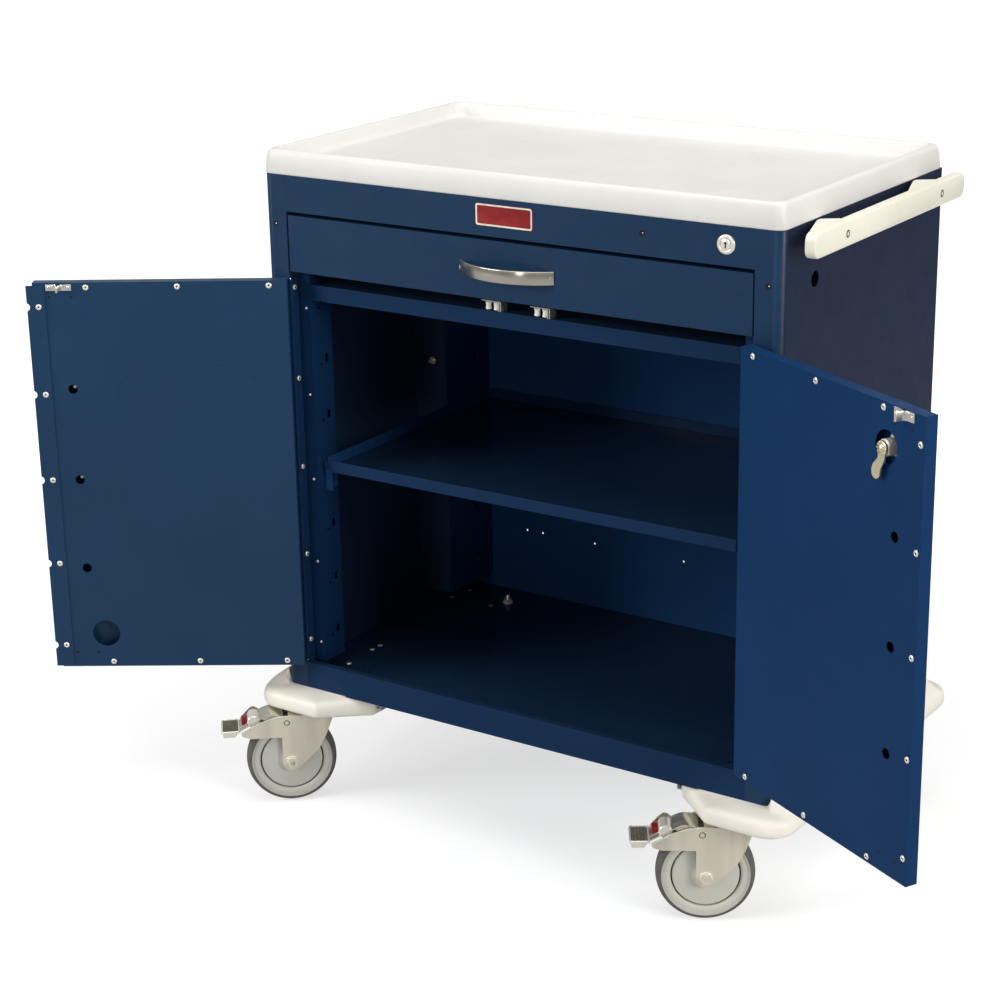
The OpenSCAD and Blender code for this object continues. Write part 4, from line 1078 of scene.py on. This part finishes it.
def pedal(corner):
    """A brake pedal: its pan, a roller, a red mark and the toe pad."""
    place = caster_frame(corner)
    body = corner + "_brake"
    brake_pan(corner, place, body)
    bm = bmesh.new()
    lathe(bm, [(0, 27.5), (7.6, 27.5), (8.8, 26.4), (8.8, 1.4), (7.8, 0), (4.6, 0), (4.2, 0.8),
               (0, 0.8)], segments=40)
    piece(corner + "_brake_roller", bm, place @ at(93.5, -9, 126.6) @ TO_BACK, body,
          BRIGHT)
    bm = bmesh.new()
    loft(bm, stack(lambda inset: rounded_rect(4.4 - inset, 7.2 - inset, 1.6 - inset, 4),
                   [(0, 0), (0, 8.6), (0.3, 9.3), (0.9, 9.6)]), matrix=at(106, -1.2, 117.6))
    piece(corner + "_brake_mark", bm, place, body, RED)
    toe_pad(corner, place @ at(126, 0, 113), body)


# ---- building
def build():
    dress_cad()
    worktop_tray()
    push_handle()
    handle_brackets()
    handle_screws()
    badge()
    drawer_lock()
    door_lock(door_frame(1))
    drawer_pull()
    for side, name, height in ((-1, "left", 8.5), (1, "right", 11)):
        door_pull(side, name)
        door_rivets(side, name)
        strike(side, name, height)
    catch_rollers()
    frame_fasteners()
    inside_fasteners()
    for corner in CORNERS:
        corner_bumper(corner)
        wheel(corner)
        fork_hardware(corner)
    pedal("front_left")
    pedal("front_right")


# ---- stage
# How white the floor is to the camera, in reflections and to the fill light
FLOOR_SEEN = 0.5
FLOOR_MIRRORED = 0.3
FLOOR_UNSEEN = 0.6
# The floor's own glow under the cart, kept low there as painted shade, its glow in reflections, and
# where the painted shade fades out, in metres
FLOOR_GLOW_PAINTED_SHADE = 0.63
MIRRORED_GLOW = 0.15
GLOW_NEAR = 0.9
GLOW_FAR = 1.9
# The white surround's strength in reflections and as fill light
WORLD_MIRRORED = 0.45
WORLD_FILL = 0.13


def by_ray(tree, direct, mirrored, otherwise):
    """A value for what is seen directly, one for reflections and one for the fill light."""
    path = tree.nodes.new("ShaderNodeLightPath")
    reflect = add_node(tree, "ShaderNodeMapRange", {
        "Value": path.outputs["Is Glossy Ray"], "To Min": otherwise, "To Max": mirrored})
    choose = add_node(tree, "ShaderNodeMapRange", {
        "Value": path.outputs["Is Camera Ray"], "To Min": reflect.outputs["Result"],
        "To Max": direct})
    return choose.outputs["Result"]


def glow_with_painted_shade(tree):
    """The floor's own glow, painted dimmer near the cart as a shade in which the lamps' soft shadow
    shows.
    """
    coords = tree.nodes.new("ShaderNodeTexCoord")
    length = tree.nodes.new("ShaderNodeVectorMath")
    length.operation = "LENGTH"
    tree.links.new(coords.outputs["Object"], length.inputs[0])
    fade = add_node(tree, "ShaderNodeMapRange", {
        "Value": length.outputs["Value"], "From Min": GLOW_NEAR, "From Max": GLOW_FAR,
        "To Min": FLOOR_GLOW_PAINTED_SHADE, "To Max": 1.0})
    fade.interpolation_type = "SMOOTHSTEP"
    return fade.outputs["Result"]


def floor_and_world():
    """A pale floor that melts into a white surround, its glow painted dimmer round the cart."""
    bm = bmesh.new()
    bmesh.ops.create_grid(bm, x_segments=8, y_segments=8, size=40)
    mesh = bpy.data.meshes.new("floor")
    bm.to_mesh(mesh)
    bm.free()
    floor = bpy.data.objects.new("floor", mesh)
    bpy.context.scene.collection.objects.link(floor)
    floor.location = (0, 0, -0.0005)
    material = bpy.data.materials.new("studio floor")
    material.use_nodes = True
    tree = material.node_tree
    feed(tree.nodes["Principled BSDF"], {
        "Roughness": 0.9, "Specular IOR Level": 0.0, "Emission Color": (1, 1, 1, 1),
        "Base Color": by_ray(tree, FLOOR_SEEN, FLOOR_MIRRORED, FLOOR_UNSEEN),
        "Emission Strength": by_ray(tree, glow_with_painted_shade(tree), MIRRORED_GLOW, 0.0)})
    mesh.materials.append(material)
    world = bpy.data.worlds.new("studio")
    bpy.context.scene.world = world
    world.use_nodes = True
    tree = world.node_tree
    feed(tree.nodes["Background"], {
        "Color": (1, 1, 1, 1), "Strength": by_ray(tree, 1.0, WORLD_MIRRORED, WORLD_FILL)})


def softbox(name, place, target, size, watts, warmth=1.0):
    """A rectangular area light, its size in metres. Below 1, warmth makes it yellower."""
    light = bpy.data.lights.new(name, "AREA")
    light.shape = "RECTANGLE"
    light.size, light.size_y = size
    light.energy = watts
    light.color = (1.0, 0.5 + 0.5 * warmth, warmth)
    obj = bpy.data.objects.new(name, light)
    bpy.context.scene.collection.objects.link(obj)
    obj.location = place
    obj.rotation_mode = "QUATERNION"
    obj.rotation_quaternion = (Vector(target) - Vector(place)).to_track_quat("-Z", "Y")


def lights():
    middle = (CENTRE.x, CENTRE.y, 0.5)
    softbox("overhead softbox", (0.2, -0.2, 3.4), middle, (3.4, 3.0), 78)
    softbox("front softbox", (-3.2, -3.6, 2.2), middle, (2.4, 2.0), 138)
    softbox("narrow softbox", (0.1, -4.5, 1.6), middle, (0.5, 2.4), 15)
    softbox("right softbox", (4.6, -0.9, 2.0), middle, (2.0, 2.0), 150, 0.98)


# The camera, as solved from the photo: angles in degrees, lengths in metres
AZIMUTH = 33.837
ELEVATION = 18.737
ROLL = -1.024
DISTANCE = 3.2429
AIM = Vector((-0.16632, 0.0, 0.40907))
LENS = 82.71


def camera():
    data = bpy.data.cameras.new("camera")
    data.lens = LENS
    data.sensor_width = 36
    cam = bpy.data.objects.new("camera", data)
    bpy.context.scene.collection.objects.link(cam)
    az, el, roll = (math.radians(v) for v in (AZIMUTH, ELEVATION, ROLL))
    back = Vector((math.sin(az) * math.cos(el), -math.cos(az) * math.cos(el), math.sin(el)))
    right = (-back).cross(Vector((0, 0, 1))).normalized()
    up = right.cross(-back)
    across = right * math.cos(roll) + up * math.sin(roll)
    upright = up * math.cos(roll) - right * math.sin(roll)
    turn = Matrix((across, upright, back)).transposed().to_4x4()
    cam.matrix_world = Matrix.Translation(CENTRE + AIM + back * DISTANCE) @ turn
    bpy.context.scene.camera = cam


camera()
build()
floor_and_world()
lights()
bpy.context.scene.view_settings.view_transform = "Standard"
